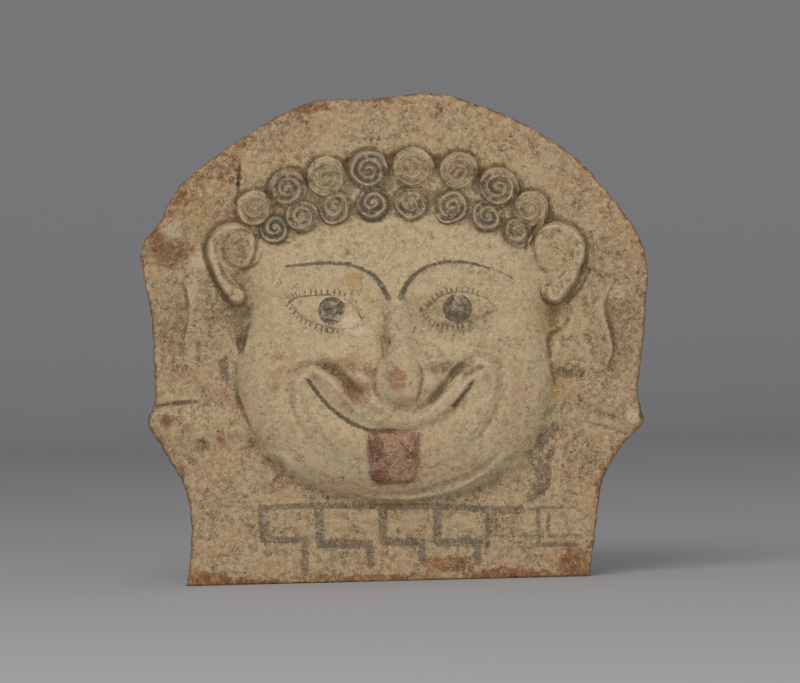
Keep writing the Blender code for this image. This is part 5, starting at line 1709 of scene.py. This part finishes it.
def painted_lines(bench, place, colour, readings):
    """The remains of the brushed lines, spirals, lashes and irises, and how much paint that is."""
    wear = bench.noise(bench.moved(place, (0.05, 0.35, 0.55)), 0.8, 4.0, 0.75)
    loss = bench.noise(bench.moved(place, (0.45, 0.05, 0.85)), 2.6, 5.0, 0.75)
    kept = bench.rise(0.15 + 0.7 * readings["paint_left"] - 0.45 * wear - 0.55 * loss, -0.07, 0.07)
    off_face = 1.0 - readings["on_face"]
    grains = bench.noise(bench.moved(place, (0.75, 0.15, 0.35)), 0.5, 2.0, 0.6)
    kept = kept * (1.0 - (0.3 + 0.45 * off_face) * bench.rise(grains, 0.47, 0.58))
    line = bench.rise(readings["painted"] + 1.8 * (wear - 0.5) + 1.8 * (loss - 0.5), -0.35, 0.4) * kept
    hue = bench.rise(bench.noise(bench.moved(place, (0.55, 0.75, 0.15)), 4.0, 2.0), 0.4, 0.6)
    paint = bench.mix(hue * (1.0 - 0.8 * readings["on_face"]), BLACK_PAINT, BLUE_BLACK_PAINT)
    colour = bench.mix(line * (PAINT_COVER - 0.18 * off_face), colour, paint)
    valleys = spiral_valleys(bench, readings)
    # Dirt and painted shade darken the spiral valleys
    colour = bench.mix(valleys * bench.rise(1.0 - wear, 0.4, 0.6) * 0.35, colour, DIRT_AND_SHADE)
    spirals = valleys * bench.rise(0.34 + 0.5 * readings["curl_paint"] - 0.4 * wear - 1.0 * loss, -0.1, 0.1)
    colour = bench.mix(spirals * SPIRAL_COVER, colour, paint)
    colour = bench.mix(lid_lines(bench, wear, loss, readings) * LID_COVER, colour, BROWN_CRUST)
    colour = bench.mix(lashes(bench, wear, readings) * LASH_COVER, colour, DARK_SPECK)
    in_iris = bench.rise(readings["in_iris"] + 0.5 * (wear - 0.5), -0.2, 0.25)
    blotch = bench.noise(bench.moved(place, (0.25, 0.65, 0.95)), 2.2, 6.0, 0.8)
    pale = bench.rise(blotch + 0.14 * readings["chalky"], 0.53, 0.62)
    iris = bench.mix(pale, IRIS_GREY, IRIS_PALE)
    iris = bench.mix(bench.rise(blotch, 0.5, 0.42), iris, BLACK_PAINT)
    colour = bench.mix(in_iris * PAINT_COVER, colour, iris)
    return colour, bench.sum("MAXIMUM", bench.sum("MAXIMUM", line, spirals), in_iris)


def lid_lines(bench, wear, loss, readings):
    """The thin brown line round each eye, broken in places."""
    from_lid = bench.sum("ABSOLUTE", readings["outside_lids"] + 0.5 * (wear - 0.5))
    return (1.0 - bench.rise(from_lid, 0.12, 0.42)) * bench.rise(1.0 - loss, 0.36, 0.56)


def spiral_phase(bench, readings):
    """Turns along each curl's spiral, which passes a whole number at every ridge."""
    across = readings["curl_across"]
    up = readings["curl_up"]
    distance = (across * across + up * up) ** 0.5
    round_centre = bench.sum("ARCTAN2", up, across) / (2.0 * math.pi)
    phase = distance / SPIRAL_PITCH + round_centre + readings["curl_turn"]
    from_ridge = bench.sum("PINGPONG", phase, 0.5)
    return from_ridge, distance


def spiral_valleys(bench, readings):
    """The valley that winds into each curl beside its spiral ridge."""
    from_ridge, distance = spiral_phase(bench, readings)
    valley = bench.rise(from_ridge, 0.12, 0.36)
    return valley * bench.rise(readings["in_curl"], -0.4, 0.5) * bench.rise(distance, 0.4, 1.0)


def spiral_ridges(bench, readings):
    """The thin raised line of each curl's spiral, in millimetres."""
    from_ridge, distance = spiral_phase(bench, readings)
    ridge = 1.0 - bench.rise(from_ridge, 0.04, 0.22)
    return 0.5 * ridge * bench.rise(readings["in_curl"], -0.2, 0.6) * bench.rise(distance, 0.3, 0.8)


def lashes(bench, wear, readings):
    """Short painted strokes that stand on the lids."""
    number = readings["along_lids"] / LASH_SPACING
    cell = bench.sum("FLOOR", number)
    chance = bench.node("ShaderNodeTexWhiteNoise", {"noise_dimensions": "1D"}, {"W": cell})
    from_middle = bench.sum("ABSOLUTE", bench.sum("FRACT", number) - 0.35 - 0.3 * chance)
    outside = readings["outside_lids"]
    length = SHORTEST_LASH + LASHES_VARY * chance
    stroke = 1.0 - bench.rise(from_middle + 0.12 * (wear - 0.5), 0.09, 0.2)
    stroke = stroke * bench.rise(outside, 0.1, 0.45) * (1.0 - bench.rise(outside - length, -0.25, 0.25))
    kept = bench.rise(readings["lashes_left"] * 1.3 - wear - 0.3 * chance, -0.2, 0.3)
    return stroke * kept


def clay_surface(bench, place, readings, gone):
    """The height of the clay's grain and small pits, in millimetres."""
    lumps = bench.noise(place, 2.6, 5.0, 0.65)
    grain = bench.noise(bench.moved(place, (0.4, 0.2, 0.6)), 0.7, 3.0, 0.65)
    coarse = 1.0 + 1.2 * gone - 0.4 * readings["on_face"]
    return (0.42 * lumps + 0.16 * grain) * coarse - 0.3 * gone + spiral_ridges(bench, readings)


def fired_clay(reading_names):
    """The material of the whole clay body, from the slip up."""
    bench = Bench("fired clay with slip and paint")
    place = bench.place()
    readings = {name: bench.read(name) for name in reading_names}
    colour = slip_colour(bench, place, readings)
    colour = painted_tongue(bench, place, colour, readings)
    colour, painted = painted_lines(bench, place, colour, readings)
    colour = dirt_and_painted_shade(bench, place, colour, readings)
    colour, gone = worn_to_clay(bench, place, colour, readings)
    colour = specks(bench, place, colour, readings, painted)
    roughness = 0.8 + 0.14 * bench.noise(place, 2.0, 2.0) + 0.05 * gone
    height = clay_surface(bench, place, readings, gone)
    normal = bench.node("ShaderNodeBump", {}, {"Strength": 1.0, "Distance": 0.001, "Height": height})
    values = {"Base Color": colour, "Roughness": roughness, "Normal": normal, "Specular IOR Level": 0.3}
    shader = bench.node("ShaderNodeBsdfPrincipled", {}, values)
    return bench.finished(shader)


def plain_finish(name, colour, roughness):
    bench = Bench(name)
    place = bench.place()
    drift = bench.noise(place, 400.0, 2.0)
    tone = bench.mix(drift, colour, tuple(0.96 * part for part in colour[:3]) + (1.0,))
    shader = bench.node("ShaderNodeBsdfPrincipled", {}, {"Base Color": tone, "Roughness": roughness})
    return bench.finished(shader)


FLOOR_COLOUR = (0.46, 0.46, 0.475, 1.0)
FLOOR_WIDTH = 7.0
FLOOR_FRONT = -3.6
FLOOR_BACK = 2.0
COVE_RADIUS = 0.7
COVE_STEPS = 24
WALL_TOP = 3.6


def studio_floor():
    """A pale sheet that runs back from the camera and sweeps up behind the antefix."""
    profile = [(FLOOR_FRONT, 0.0)]
    for step in range(COVE_STEPS + 1):
        turn = math.pi / 2.0 * step / COVE_STEPS
        profile.append((FLOOR_BACK + COVE_RADIUS * math.sin(turn), COVE_RADIUS * (1.0 - math.cos(turn))))
    profile.append((FLOOR_BACK + COVE_RADIUS, WALL_TOP))
    vertices = []
    for y, z in profile:
        vertices += [(-FLOOR_WIDTH / 2.0, y, z), (FLOOR_WIDTH / 2.0, y, z)]
    faces = []
    for number in range(len(profile) - 1):
        first = 2 * number
        faces.append((first, first + 1, first + 3, first + 2))
    mesh = bpy.data.meshes.new("studio_floor")
    mesh.from_pydata(vertices, [], faces)
    mesh.shade_smooth()
    mesh.materials.append(plain_finish("plain pale paper", FLOOR_COLOUR, 0.9))
    floor = bpy.data.objects.new("studio_floor", mesh)
    bpy.context.scene.collection.objects.link(floor)


LIT_PLACE = (0.0, 0.0, 0.1)
# Each light: its name, place, width, height, power in watts and colour
LIGHTS = [
    ("window", (-0.45, -1.05, 1.15), 1.1, 0.8, 9.4, (1.0, 0.985, 0.965)),
    ("fill", (0.25, -1.4, 0.1), 1.8, 0.18, 9.8, (1.0, 0.985, 0.97)),
]
ROOM_COLOUR = (0.98, 0.98, 1.0, 1.0)
ROOM_STRENGTH = 0.35


def soft_light(name, place, width, height, power, colour):
    """A wide lamp turned to the face."""
    lamp = bpy.data.lights.new(name, "AREA")
    lamp.shape = "RECTANGLE"
    lamp.size = width
    lamp.size_y = height
    lamp.energy = power
    lamp.color = colour
    light = bpy.data.objects.new(name, lamp)
    light.location = place
    light.rotation_euler = (Vector(LIT_PLACE) - Vector(place)).to_track_quat("-Z", "Y").to_euler()
    bpy.context.scene.collection.objects.link(light)


def studio_light():
    for light in LIGHTS:
        soft_light(*light)
    world = bpy.data.worlds.new("room")
    world.use_nodes = True
    backdrop = world.node_tree.nodes["Background"]
    backdrop.inputs["Color"].default_value = ROOM_COLOUR
    backdrop.inputs["Strength"].default_value = ROOM_STRENGTH
    bpy.context.scene.world = world
    bpy.context.scene.view_settings.view_transform = "Standard"


VIEW_MIDDLE = (5.2, 95.8)
VIEW_WIDTH = 0.320
VIEW_DISTANCE = 1.5
FILM_WIDTH = 36.0


def camera():
    """A camera square to the face, turned so that the drawing stands upright in the picture."""
    lens = bpy.data.cameras.new("camera")
    lens.sensor_width = FILM_WIDTH
    lens.lens = FILM_WIDTH * VIEW_DISTANCE / VIEW_WIDTH
    holder = bpy.data.objects.new("camera", lens)
    across, up = levelled([VIEW_MIDDLE])[0] * SCALE
    holder.location = (across + SHIFT, FRONT_FIELD - VIEW_DISTANCE, up)
    holder.rotation_euler = (math.pi / 2.0, TRIM_ANGLE, 0.0)
    bpy.context.scene.collection.objects.link(holder)
    bpy.context.scene.camera = holder


def main():
    camera()
    studio_floor()
    studio_light()
    body, reading_names = clay_body()
    body.data.materials.append(fired_clay(reading_names))
    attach(body, "root")
    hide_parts("antefix")


main()
